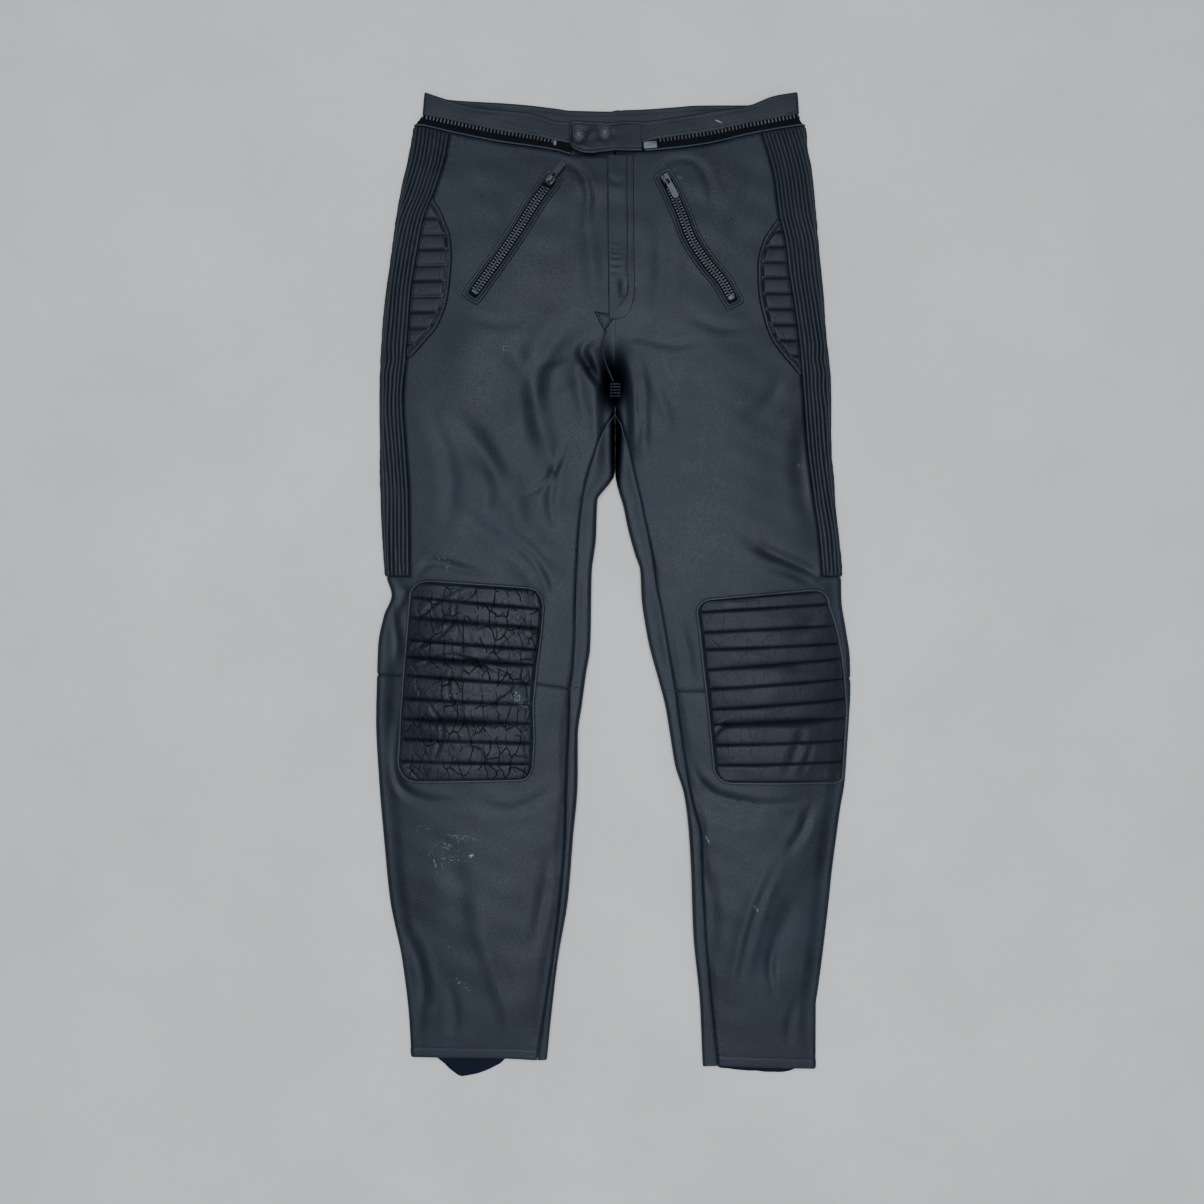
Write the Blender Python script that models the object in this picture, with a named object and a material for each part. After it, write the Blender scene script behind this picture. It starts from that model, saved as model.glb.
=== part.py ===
"""Leather motorcycle trousers, laid flat with the front up.

Tables and working sizes are in millimetres, and points become metres when a mesh is made.
+X is towards the wearer's left, +Y towards the waist and +Z up. The underside rests on z = 0.
"drop" is the distance down from the top of the waistband, and "across" is the distance from
the middle of the garment, on the side that a table belongs to.
"""
import math

import bmesh
import bpy
from mathutils import Vector
from mathutils.bvhtree import BVHTree

# Driving sizes
MM = 0.001
TOP_Y = 517.0
LEATHER = 1.6
BAND_LEATHER = 2.2
ZIP_TAPE = 1.2
LINING = 1.0
SEAM = 0.15
WAIST_SEAM = 0.3
BACK_WAIST_SEAM = 0.8
BACK_WAIST_RISE = 20.0
REST = 0.35
CENTRE_X = 2.0
CROTCH_DROP = 282.0
PARTED_DROP = 329.0
INSEAM_TURN = 22.0
RIB_END = 509.0
RIB_COUNT = 12
RIB_PITCH = 4.15
RIB_WIDTH = 58.0
RIB_HEIGHT = 1.1
SIDE_SEAM_UNDER = 10.0
SIDE_SEAM_EASE = 40.0
SIDE_LINE_EASE = 120.0
KNEE_WRAP = 30.0
BAND_WRAP = 12.0
THIGH_ROWS = 16
KNEE_ROWS = 4
SHIN_ROWS = 13
MAIN_COLUMNS = 12
WRAP_COLUMNS = 6
STEP = 0.4
EDGE_FADE = 16.0
FOLD_START = (40.0, 110.0)
FOLD_END = (975.0, 1010.0)
PARTING_LEAD = 90.0
PARTING_TAIL = 20.0
INSIDE_ROOM = 0.8
BAND_ROWS = (0.0, 0.1, 0.9, 1.0)
BAND_EDGE = 0.1
TAPE_ROWS = (0.0, 0.25, 0.6, 1.0)
TAPE_SUNK = 0.4
TAB_ROWS = (0.0, 0.33, 0.67, 1.0)
RIB_FADE = (0.3, 2.6)


def mix(first, second, share):
    return first + (second - first) * share


def smooth(low, high, value):
    share = min(1.0, max(0.0, (value - low) / (high - low)))
    return share * share * (3.0 - 2.0 * share)


class Table:
    """Rows of sizes under named columns, read smoothly and without overshoot between rows."""

    def __init__(self, columns, rows):
        self.names = columns.split()
        self.rows = rows

    def column(self, name):
        place = self.names.index(name)
        return [row[place] for row in self.rows]

    def read(self, key, name):
        keys = self.column(self.names[0])
        values = self.column(name)
        if key <= keys[0]:
            return values[0]
        if key >= keys[-1]:
            return values[-1]
        last = len(keys) - 1
        slopes = [(values[i + 1] - values[i]) / (keys[i + 1] - keys[i]) for i in range(last)]
        row = next(i for i in range(last) if key <= keys[i + 1])

        def tangent(i):
            if i == 0 or i == last:
                return slopes[0] if i == 0 else slopes[-1]
            before, after = slopes[i - 1], slopes[i]
            if before * after <= 0.0:
                return 0.0
            return 2.0 * before * after / (before + after)

        width = keys[row + 1] - keys[row]
        share = (key - keys[row]) / width
        square = share * share
        cube = square * share
        return (
            values[row] * (2 * cube - 3 * square + 1)
            + tangent(row) * width * (cube - 2 * square + share)
            + values[row + 1] * (3 * square - 2 * cube)
            + tangent(row + 1) * width * (cube - square)
        )


# The rolled edge's radius and how far the stuffed front stands above it, down the garment
SECTION = Table("drop radius loft", [
    (0, 3.2, 0.0), (30, 3.2, 0.0), (60, 3.8, 1.0), (100, 4.6, 3.8), (160, 5.0, 6.5),
    (240, 5.2, 8.0), (320, 5.4, 8.5), (420, 5.2, 8.0), (500, 5.0, 8.5), (560, 5.0, 9.5),
    (640, 5.0, 10.5), (700, 5.0, 9.5), (760, 5.0, 8.0), (860, 4.8, 7.5), (960, 4.0, 5.0),
    (1005, 3.2, 2.2), (1026, 3.0, 1.2),
])

RIGHT = {
    "name": "right",
    "sign": -1,
    "centre": -CENTRE_X,
    "side_edge": Table("drop across", [
        (0, 198.7), (24, 201.0), (33, 208.2), (46, 210.3), (72, 215.1), (105, 222.3),
        (140, 228.1), (187, 234.4), (250, 241.8), (313, 243.9), (376, 243.9), (439, 242.8),
        (486, 240.7), (508, 238.6), (528, 232.8), (549, 240.7), (581, 247.0), (612, 248.1),
        (659, 249.1), (722, 246.0), (785, 240.7), (848, 234.4), (911, 221.8), (974, 214.5),
        (1016, 212.4),
    ]),
    "inner_edge": Table("drop across", [
        (0, -1.85), (400, -1.85), (413, 5.0), (428, 16.5), (470, 18.1), (486, 20.2),
        (502, 22.3), (581, 23.9), (612, 28.6), (644, 32.8), (675, 37.0), (722, 37.2),
        (785, 42.3), (848, 47.5), (911, 58.0), (974, 65.4), (1016, 69.6),
    ]),
    "inseam": Table("drop across", [
        (329, 2.0), (345, 6.0), (376, 18.1), (407, 27.6), (430, 31.8), (467, 36.0),
        (503, 38.1), (546, 39.1), (600, 41.2), (627, 44.4), (672, 46.5), (727, 48.6),
        (775, 49.9), (802, 51.5), (869, 58.0), (933, 66.9), (1005, 78.0), (1016, 79.5),
    ]),
    "rib_seam": Table("drop across", [
        (36, 171.0), (67, 175.6), (107, 187.2), (134, 197.7), (158, 202.9), (182, 207.1),
        (212, 211.3), (285, 216.6), (322, 219.7), (376, 216.6), (430, 213.4), (509, 212.9),
    ]),
    "waist": Table("across back_top front_top band_bottom panel_top", [
        (7, 18.9, 31.5, 60.9, 68.3), (46, 17.9, 31.0, 54.1, 66.2), (57, 16.3, 30.5, 52.0, 63.0),
        (87, 12.6, 22.0, 45.7, 57.8), (117, 10.1, 18.9, 41.0, 53.6), (144, 8.6, 16.1, 35.7, 48.4),
        (171, 6.7, 9.1, 29.9, 42.5), (199, 0.0, 0.0, 24.2, 35.7),
    ]),
    "knee_seam": Table("across drop", [(30, 628.0), (80, 621.0), (215, 612.5), (250, 611.5)]),
    "hem": Table("across drop", [(70, 1017.0), (130, 1013.5), (212, 1013.0)]),
    "hip_pad": Table("drop across", [
        (112, 189.5), (124, 181.5), (140, 174.6), (157, 169.3), (176, 168.2), (194, 169.3),
        (220, 172.5), (248, 183.0), (266, 197.7), (281, 210.8),
    ]),
    "knee_pad": Table("line outer_across outer_drop inner_across inner_drop", [
        (0, 192.4, 513.5, 87.4, 520.8), (1, 211.8, 530.3, 72.7, 542.9),
        (2, 213.4, 551.3, 74.3, 562.8), (3, 215.0, 574.4, 76.9, 584.9),
        (4, 216.6, 592.2, 79.0, 600.6), (5, 218.1, 611.1, 81.1, 620.6),
        (6, 219.7, 635.3, 83.2, 641.6), (7, 221.3, 656.3, 82.7, 661.5),
        (8, 222.3, 677.3, 82.2, 681.5), (9, 223.9, 700.4, 83.7, 703.0),
        (10, 205.0, 722.4, 96.9, 720.3),
    ]),
    "deep_lines": {4: 1.0, 7: 1.0, 2: 0.4},
    "pocket": Table("along across drop", [
        (0, 63.0, 93.0), (1, 70.5, 103.5), (2, 83.0, 121.5), (3, 99.5, 148.5),
        (4, 119.0, 177.5), (5, 133.5, 197.5), (6, 152.5, 224.5),
    ]),
    "lining": Table("across drop", [
        (112, 1014.0), (120, 1021.5), (150, 1033.0), (158, 1034.0), (181, 1018.5), (186, 1014.0),
    ]),
}

LEFT = {
    "name": "left",
    "sign": 1,
    "centre": CENTRE_X,
    "side_edge": Table("drop across", [
        (0, 194.0), (26, 196.1), (36, 201.3), (61, 203.4), (77, 206.6), (92, 208.7),
        (124, 211.8), (155, 213.9), (187, 217.1), (218, 220.2), (250, 222.3), (313, 227.6),
        (376, 228.0), (407, 230.7), (439, 232.8), (470, 236.0), (502, 239.1), (533, 239.7),
        (565, 244.4), (596, 248.6), (628, 249.1), (659, 247.5), (691, 245.4), (722, 243.3),
        (754, 238.1), (785, 233.9), (817, 229.7), (848, 226.5), (911, 219.2), (943, 215.0),
        (959, 212.9), (1026, 212.9),
    ]),
    "inner_edge": Table("drop across", [
        (0, 2.15), (400, 2.15), (439, 11.3), (455, 14.4), (486, 22.8), (502, 28.1),
        (533, 29.7), (565, 34.4), (581, 37.5), (612, 45.9), (644, 54.3), (675, 59.6),
        (707, 64.8), (738, 74.3), (770, 78.5), (817, 81.6), (880, 83.7), (959, 91.1),
        (1006, 93.2), (1026, 94.2),
    ]),
    "inseam": Table("drop across", [
        (329, 4.0), (345, 8.5), (368, 14.0), (391, 19.0), (418, 25.5), (455, 33.8),
        (485, 39.6), (521, 44.9), (546, 50.1), (591, 57.5), (627, 63.8), (664, 69.0),
        (699, 74.3), (739, 81.5), (783, 91.1), (839, 93.2), (915, 98.4), (977, 104.7),
        (1026, 110.5),
    ]),
    "rib_seam": Table("drop across", [
        (36, 153.0), (45, 156.2), (89, 167.7), (130, 173.0), (158, 179.3), (194, 183.5),
        (230, 189.3), (268, 194.0), (322, 198.2), (376, 202.4), (430, 209.2), (467, 215.0),
        (509, 218.5),
    ]),
    "waist": Table("across back_top front_top band_bottom panel_top", [
        (7, 17.5, 31.5, 56.0, 66.0), (30, 16.8, 31.0, 53.5, 63.5), (46, 15.8, 29.4, 49.6, 62.0),
        (67, 14.2, 26.3, 46.7, 59.8), (88, 12.6, 23.1, 43.6, 57.0), (105, 12.4, 20.0, 40.8, 54.0),
        (142, 12.3, 14.2, 33.0, 45.0), (169, 3.2, 4.2, 28.0, 39.8), (194, 0.0, 0.0, 23.0, 35.7),
    ]),
    "knee_seam": Table("across drop", [(45, 629.0), (96, 628.0), (240, 616.0), (250, 615.5)]),
    "hem": Table("across drop", [(94, 1021.5), (213, 1025.5)]),
    "hip_pad": Table("drop across", [
        (136, 171.0), (146, 163.5), (158, 156.2), (185, 149.9), (212, 150.9), (239, 156.2),
        (260, 163.5), (275, 173.0), (288, 184.0), (299, 193.5),
    ]),
    "knee_pad": Table("line outer_across outer_drop inner_across inner_drop", [
        (0, 208.7, 522.9, 103.7, 532.4), (1, 224.4, 537.6, 86.9, 546.0),
        (2, 231.8, 559.7, 89.5, 567.0), (3, 236.0, 578.6, 91.6, 584.9),
        (4, 238.6, 594.3, 93.7, 605.9), (5, 241.2, 615.3, 96.3, 625.8),
        (6, 242.8, 636.3, 98.4, 646.8), (7, 243.9, 656.3, 100.0, 662.6),
        (8, 244.9, 679.4, 102.1, 683.6), (9, 245.4, 701.4, 104.2, 704.6),
        (10, 230.7, 723.5, 122.1, 723.5),
    ]),
    "deep_lines": {7: 1.2, 4: 0.4, 6: 0.3},
    "pocket": Table("along across drop", [
        (0, 52.5, 91.0), (1, 58.5, 102.0), (2, 70.0, 129.0), (3, 80.6, 156.5),
        (4, 98.4, 183.8), (5, 113.1, 201.6), (6, 130.0, 232.5),
    ]),
    "lining": Table("across drop", [
        (108, 1022.0), (112, 1025.0), (145, 1028.5), (178, 1030.0), (190, 1026.5), (194, 1023.0),
    ]),
}

# Large folds of the front: how wide, how high (below 0 is a trough), and the line along x, drop
FOLDS = [
    ("right thigh trough", 13, -3.2, [(-110, 259), (-83, 313), (-71, 350), (-65, 383)]),
    ("right thigh diagonal", 14, -3.8, [(-178, 331), (-110, 413), (-97, 458), (-48, 500)]),
    ("right knee diagonal", 12, -2.8, [(-158, 448), (-102, 490), (-65, 528)]),
    ("right crotch bulge", 20, 3.2, [(-62, 285), (-50, 318)]),
    ("right thigh crown", 26, 2.0, [(-140, 200), (-160, 300)]),
    ("right shin ridge", 13, 2.2, [(-150, 840), (-118, 925), (-92, 1000)]),
    ("right side notch", 10, -3.0, [(-236, 522), (-214, 531)]),
    ("left inner ridge", 11, 2.4, [(26, 290), (34, 397)]),
    ("left thigh crown", 30, 1.6, [(110, 260), (130, 420)]),
    ("left above knee", 10, -2.4, [(146, 476), (215, 508)]),
    ("left below knee", 10, -2.4, [(83, 724), (105, 742), (160, 752)]),
    ("left shin ridge", 12, 2.6, [(171, 805), (148, 847), (135, 886), (121, 943)]),
    ("left shin trough", 11, -2.2, [(190, 840), (165, 900), (158, 935)]),
]


def fold_height(x, drop):
    """Height of all large folds at one place on the front."""
    total = 0.0
    for _, half_width, height, line in FOLDS:
        nearest = math.inf
        for (x1, d1), (x2, d2) in zip(line, line[1:]):
            run, fall = x2 - x1, d2 - d1
            share = ((x - x1) * run + (drop - d1) * fall) / (run * run + fall * fall)
            share = min(1.0, max(0.0, share))
            nearest = min(nearest, math.hypot(x - x1 - share * run, drop - d1 - share * fall))
        total += height * math.exp(-((nearest / half_width) ** 2))
    return total


def parted(drop):
    """0 where both halves share one body, 1 where each leg is a tube of its own."""
    return smooth(CROTCH_DROP, PARTED_DROP, drop)


def radius(drop):
    return SECTION.read(drop, "radius")


def half_ring(side, drop):
    """Length of leather from the side edge over the front to the inner edge."""
    width = side["side_edge"].read(drop, "across") - side["inner_edge"].read(drop, "across")
    return width + (math.pi - 2.0) * radius(drop)


def loft(side, across, drop):
    """How far the front stands above its rolled edges."""
    outer = side["side_edge"].read(drop, "across")
    inner = side["inner_edge"].read(drop, "across")
    round_edge = radius(drop)
    parting = smooth(CROTCH_DROP - PARTING_LEAD, PARTED_DROP + PARTING_TAIL, drop)
    share = min(1.0, max(0.0, (outer - across) / (outer - inner)))
    leg = math.sin(math.pi * share)
    hips = math.sin(math.pi * share / 2.0)
    from_outer = outer - round_edge - across
    from_inner = across - round_edge - inner
    inner_fade = mix(1.0, smooth(0.0, EDGE_FADE, from_inner), parted(drop))
    fade = smooth(0.0, EDGE_FADE, from_outer) * inner_fade
    raised = SECTION.read(drop, "loft") * mix(hips, leg, parting)
    lay = smooth(*FOLD_START, drop) * (1.0 - smooth(*FOLD_END, drop))
    raised += fold_height(side["sign"] * across, drop) * lay
    return max(raised * fade, LEATHER * 2 + INSIDE_ROOM - 2 * round_edge)


def ring_point(side, place, drop):
    """Point of the leather's outer face. place runs from the side edge over the front to the
    inner edge, and on round the underside; below 0 it runs under from the side edge."""
    outer = side["side_edge"].read(drop, "across")
    inner = side["inner_edge"].read(drop, "across")
    round_edge = radius(drop)
    quarter = round_edge * math.pi / 2
    length = half_ring(side, drop)
    if place < 0.0:
        place += 2.0 * length
    on_top = place <= length
    from_outer = place if on_top else 2.0 * length - place
    from_inner = abs(length - place)
    level = 2.0 * round_edge if on_top else 0.0
    turn = 1.0 if on_top else -1.0
    if from_outer < quarter:
        across = outer - round_edge * (1.0 - math.cos(from_outer / round_edge))
        height = round_edge * (1.0 + turn * math.sin(from_outer / round_edge))
    elif from_inner < quarter:
        share = parted(drop)
        round_in = round_edge * (1.0 - math.cos(from_inner / round_edge))
        across = inner + mix(from_inner * 2.0 / math.pi, round_in, share)
        round_up = round_edge * (1.0 + turn * math.sin(from_inner / round_edge))
        height = mix(level, round_up, share)
    else:
        across = outer - round_edge - (from_outer - quarter)
        height = level
    if on_top:
        height += loft(side, across, drop)
    return Vector((side["sign"] * across, TOP_Y - drop, height))


def ring_normal(side, place, drop):
    """Outward direction of the leather at one place."""
    along = ring_point(side, place + STEP, drop) - ring_point(side, place - STEP, drop)
    down = ring_point(side, place, drop + STEP) - ring_point(side, place, drop - STEP)
    normal = along.cross(down) * side["sign"]
    return normal.normalized()


def place_of(side, across, drop, under=False):
    """The place round the leg of a point across the front, or across the underside."""
    outer = side["side_edge"].read(drop, "across")
    round_edge = radius(drop)
    place = round_edge * math.pi / 2 + (outer - round_edge - across)
    return -place if under else place


def rib_place(side, drop):
    """Place of the seam between the front and the ribbed panel, and of its line below it."""
    here = place_of(side, side["rib_seam"].read(min(drop, RIB_END), "across"), min(drop, RIB_END))
    return mix(here, KNEE_WRAP, smooth(RIB_END, RIB_END + SIDE_LINE_EASE, drop))


def under_place(side, drop):
    """Place of the seam on the underside between the side and the back."""
    ribbed = rib_place(side, min(drop, RIB_END)) - RIB_WIDTH
    return mix(ribbed, -SIDE_SEAM_UNDER, smooth(RIB_END, RIB_END + SIDE_SEAM_EASE, drop))


def inseam_place(side, drop):
    """Place of the inseam. Above the crotch it is the middle of the garment."""
    inner = side["inner_edge"].read(drop, "across")
    round_edge = radius(drop)
    inset = max(0.0, side["inseam"].read(drop, "across") - inner)
    if inset < round_edge:
        strip = round_edge * math.acos(1.0 - inset / round_edge)
    else:
        strip = round_edge * math.pi / 2 + inset - round_edge
    return half_ring(side, drop) - strip * smooth(PARTED_DROP, PARTED_DROP + INSEAM_TURN, drop)


def waist_line(side, across, name, under):
    """Drop of a waist seam, on the front, or on the underside where the back waist dips."""
    waist = side["waist"]
    if not under:
        return waist.read(across, name)
    edge = waist.rows[-1][0]
    if name == "front_top":
        return waist.read(across, "back_top")
    dip = BACK_WAIST_RISE * max(0.0, 1.0 - (across / edge) ** 2)
    return waist.read(edge, name) + dip


def make_object(name, mesh, colour, roughness, metallic=0.0):
    """Wrap one finished mesh in an object with a material of its own."""
    data = bpy.data.meshes.new(name)
    bmesh.ops.recalc_face_normals(mesh, faces=mesh.faces)
    mesh.to_mesh(data)
    mesh.free()
    material = bpy.data.materials.new(name)
    material.use_nodes = True
    shader = material.node_tree.nodes["Principled BSDF"]
    shader.inputs["Base Color"].default_value = (*colour, 1.0)
    shader.inputs["Roughness"].default_value = roughness
    shader.inputs["Metallic"].default_value = metallic
    data.materials.append(material)
    made = bpy.data.objects.new(name, data)
    bpy.context.collection.objects.link(made)
    return made


def wall_mesh(outer, inner, row_step=1, column_step=1, present=None):
    """Closed wall between an outer grid of points and a plain inner one.

    The inner face keeps every row_step-th row and column_step-th column, always with the last.
    present(row, column) says which coarse cells exist, for a piece that isn't four-sided.
    """
    rows, columns = len(outer), len(outer[0])
    coarse_rows = sorted(set(range(0, rows, row_step)) | {rows - 1})
    coarse_columns = sorted(set(range(0, columns, column_step)) | {columns - 1})
    cells = set()
    for r in range(len(coarse_rows) - 1):
        for c in range(len(coarse_columns) - 1):
            if present is None or present(coarse_rows[r], coarse_columns[c]):
                cells.add((r, c))
    mesh = bmesh.new()
    made = {}

    def vertex(face, row, column):
        key = (face, row, column)
        if key not in made:
            grid = outer if face == "outer" else inner
            made[key] = mesh.verts.new(grid[row][column] * MM)
        return made[key]

    for r, c in sorted(cells):
        top, bottom = coarse_rows[r], coarse_rows[r + 1]
        left, right = coarse_columns[c], coarse_columns[c + 1]
        for row in range(top, bottom):
            for column in range(left, right):
                ring = [(row, column), (row, column + 1), (row + 1, column + 1), (row + 1, column)]
                mesh.faces.new([vertex("outer", *corner) for corner in ring])
        ring = [(top, left), (bottom, left), (bottom, right), (top, right)]
        mesh.faces.new([vertex("inner", *corner) for corner in ring])
        edges = [
            ((r - 1, c), [(top, k) for k in range(left, right + 1)]),
            ((r + 1, c), [(bottom, k) for k in range(right, left - 1, -1)]),
            ((r, c - 1), [(k, left) for k in range(bottom, top - 1, -1)]),
            ((r, c + 1), [(k, right) for k in range(top, bottom + 1)]),
        ]
        for neighbour, run in edges:
            if neighbour not in cells:
                rim = [vertex("outer", *corner) for corner in run]
                rim += [vertex("inner", *run[-1]), vertex("inner", *run[0])]
                mesh.faces.new(rim)
    bmesh.ops.triangulate(mesh, faces=mesh.faces)
    return mesh


def panel_grids(side, places, drops, wall, relief=None):
    """Outer and inner points of a panel from each point's place and drop."""
    outer, inner = [], []
    for place_row, drop_row in zip(places, drops):
        outer.append([])
        inner.append([])
        for column, (place, drop) in enumerate(zip(place_row, drop_row)):
            point = ring_point(side, place, drop)
            normal = ring_normal(side, place, drop)
            raised = relief(column, place, point.z) if relief else 0.0
            outer[-1].append(point + normal * raised)
            inner[-1].append(point - normal * wall)
    return outer, inner


LEATHER_COLOUR = (0.028, 0.034, 0.043)
RIB_COLOUR = (0.020, 0.024, 0.031)
LINING_COLOUR = (0.010, 0.014, 0.030)
ZIP_COLOUR = (0.012, 0.013, 0.015)
METAL_COLOUR = (0.16, 0.165, 0.17)


def seam_drop(side, place, name, under=False):
    """Drop where a waist line crosses a seam that runs down the garment."""
    drop = 40.0
    for _ in range(10):
        across = side["sign"] * ring_point(side, place(drop), drop).x
        drop = waist_line(side, across, name, under)
    return drop


def line_drop(side, place, table):
    """Drop where a knee or hem line crosses a seam."""
    drop = table.rows[0][1]
    for _ in range(10):
        drop = table.read(side["sign"] * ring_point(side, place(drop), drop).x, "drop")
    return drop


def between(first, second, share):
    return lambda drop: mix(first(drop), second(drop), share)


def shifted(place, distance):
    return lambda drop: place(drop) + distance


def front_places(side):
    """Column places of the front and shin panels: the wrapped side, then the main part."""
    under = shifted(lambda drop: under_place(side, drop), SEAM)
    seam = shifted(lambda drop: rib_place(side, drop), SEAM)
    inseam = shifted(lambda drop: inseam_place(side, drop), -SEAM)
    wrap = [between(under, seam, c / WRAP_COLUMNS) for c in range(WRAP_COLUMNS)]
    main = [between(seam, inseam, c / MAIN_COLUMNS) for c in range(MAIN_COLUMNS + 1)]
    return wrap + main


def thigh_front(side):
    columns = front_places(side)
    rows_places, rows_drops = [], []
    tops = [seam_drop(side, place, "panel_top") + WAIST_SEAM for place in columns]
    knees = [line_drop(side, place, side["knee_seam"]) - SEAM for place in columns]
    low, high = tops[WRAP_COLUMNS], tops[-1]
    for row in range(THIGH_ROWS + KNEE_ROWS + 1):
        drops = []
        for column, place in enumerate(columns):
            share = (column - WRAP_COLUMNS) / MAIN_COLUMNS
            if row == 0:
                drop = tops[column]
            elif row <= THIGH_ROWS:
                drop = mix(mix(low, high, max(0.0, share)), RIB_END + SEAM, row / THIGH_ROWS)
            else:
                drop = mix(RIB_END + SEAM, knees[column], (row - THIGH_ROWS) / KNEE_ROWS)
            drops.append(drop)
        rows_drops.append(drops)
        rows_places.append([place(drop) for place, drop in zip(columns, drops)])
    outer, inner = panel_grids(side, rows_places, rows_drops, LEATHER)
    mesh = wall_mesh(
        outer, inner, present=lambda row, column: column >= WRAP_COLUMNS or row >= THIGH_ROWS
    )
    return make_object(side["name"] + "_front_panel", mesh, LEATHER_COLOUR, 0.42)


def shin_front(side):
    columns = front_places(side)
    rows_places, rows_drops = [], []
    knees = [line_drop(side, place, side["knee_seam"]) + SEAM for place in columns]
    hems = [line_drop(side, place, side["hem"]) for place in columns]
    for row in range(SHIN_ROWS + 1):
        drops = [mix(knee, hem, row / SHIN_ROWS) for knee, hem in zip(knees, hems)]
        rows_drops.append(drops)
        rows_places.append([place(drop) for place, drop in zip(columns, drops)])
    outer, inner = panel_grids(side, rows_places, rows_drops, LEATHER)
    return make_object(side["name"] + "_shin_panel", wall_mesh(outer, inner), LEATHER_COLOUR, 0.42)


WRAP_BACK_COLUMNS = 7
FLAT_BACK_COLUMNS = 3


def back_places(side):
    """Column places of the back and calf panels, from the inseam round the inner edge."""
    inseam = shifted(lambda drop: inseam_place(side, drop), SEAM)
    turned = lambda drop: half_ring(side, drop) + radius(drop) * math.pi / 2 + 1.5
    under = lambda drop: 2.0 * half_ring(side, drop) + under_place(side, drop) - SEAM
    wrap = [between(inseam, turned, c / WRAP_BACK_COLUMNS) for c in range(WRAP_BACK_COLUMNS)]
    flat = [between(turned, under, c / FLAT_BACK_COLUMNS) for c in range(FLAT_BACK_COLUMNS + 1)]
    return wrap + flat


def thigh_back(side):
    columns = back_places(side)
    count = len(columns) - 1
    front = front_places(side)
    inner_top = seam_drop(side, front[-1], "panel_top") + WAIST_SEAM
    outer_top = seam_drop(side, front[WRAP_COLUMNS], "panel_top") + WAIST_SEAM
    tops = [seam_drop(side, place, "panel_top", under=True) + BACK_WAIST_SEAM for place in columns]
    inner_knee = line_drop(side, front[-1], side["knee_seam"]) - SEAM
    outer_knee = line_drop(side, front[0], side["knee_seam"]) - SEAM
    rows_places, rows_drops = [], []
    for row in range(THIGH_ROWS + KNEE_ROWS + 1):
        drops = []
        for column in range(count + 1):
            share = column / count
            if row == 0:
                drop = tops[column]
            elif row <= THIGH_ROWS:
                drop = mix(mix(inner_top, outer_top, share), RIB_END + SEAM, row / THIGH_ROWS)
            else:
                knee = mix(inner_knee, outer_knee, share)
                drop = mix(RIB_END + SEAM, knee, (row - THIGH_ROWS) / KNEE_ROWS)
            drops.append(drop)
        rows_drops.append(drops)
        rows_places.append([place(drop) for place, drop in zip(columns, drops)])
    outer, inner = panel_grids(side, rows_places, rows_drops, LEATHER)
    return make_object(side["name"] + "_back_panel", wall_mesh(outer, inner), LEATHER_COLOUR, 0.45)


def calf_back(side):
    columns = back_places(side)
    count = len(columns) - 1
    front = front_places(side)
    inner_knee = line_drop(side, front[-1], side["knee_seam"]) + SEAM
    outer_knee = line_drop(side, front[0], side["knee_seam"]) + SEAM
    inner_hem = line_drop(side, front[-1], side["hem"])
    outer_hem = line_drop(side, front[0], side["hem"])
    rows_places, rows_drops = [], []
    for row in range(SHIN_ROWS + 1):
        drops = []
        for column in range(count + 1):
            share = column / count
            knee = mix(inner_knee, outer_knee, share)
            drops.append(mix(knee, mix(inner_hem, outer_hem, share), row / SHIN_ROWS))
        rows_drops.append(drops)
        rows_places.append([place(drop) for place, drop in zip(columns, drops)])
    outer, inner = panel_grids(side, rows_places, rows_drops, LEATHER)
    return make_object(side["name"] + "_calf_panel", wall_mesh(outer, inner), LEATHER_COLOUR, 0.45)


def ribbed_side(side):
    """Side stretch panel: raised ribs over the front and the side edge, plain beneath."""
    widths = [column * RIB_PITCH / 2 for column in range(2 * RIB_COUNT + 1)]
    widths.append(RIB_WIDTH - 2 * SEAM)
    count = len(widths) - 1
    seam = shifted(lambda drop: rib_place(side, drop), -SEAM)
    columns = [shifted(seam, -width) for width in widths]
    front_seam = shifted(seam, 2 * SEAM)
    top = seam_drop(side, front_seam, "panel_top") + WAIST_SEAM
    tops = [
        seam_drop(side, place, "panel_top", under=place(40.0) < 0.0) + WAIST_SEAM
        for place in columns
    ]
    rows_places, rows_drops = [], []
    for row in range(THIGH_ROWS + 1):
        drops = []
        for column in range(count + 1):
            if row == 0:
                drop = tops[column]
            elif row == THIGH_ROWS:
                drop = RIB_END - SEAM
            else:
                drop = mix(top, RIB_END + SEAM, row / THIGH_ROWS)
            drops.append(drop)
        rows_drops.append(drops)
        rows_places.append([place(drop) for place, drop in zip(columns, drops)])

    def relief(column, place, height):
        if column % 2 == 0 or column == count:
            return 0.0
        return RIB_HEIGHT * smooth(*RIB_FADE, height)

    outer, inner = panel_grids(side, rows_places, rows_drops, LEATHER, relief)
    mesh = wall_mesh(outer, inner, row_step=1, column_step=4)
    return make_object(side["name"] + "_rib_panel", mesh, RIB_COLOUR, 0.4)


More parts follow.
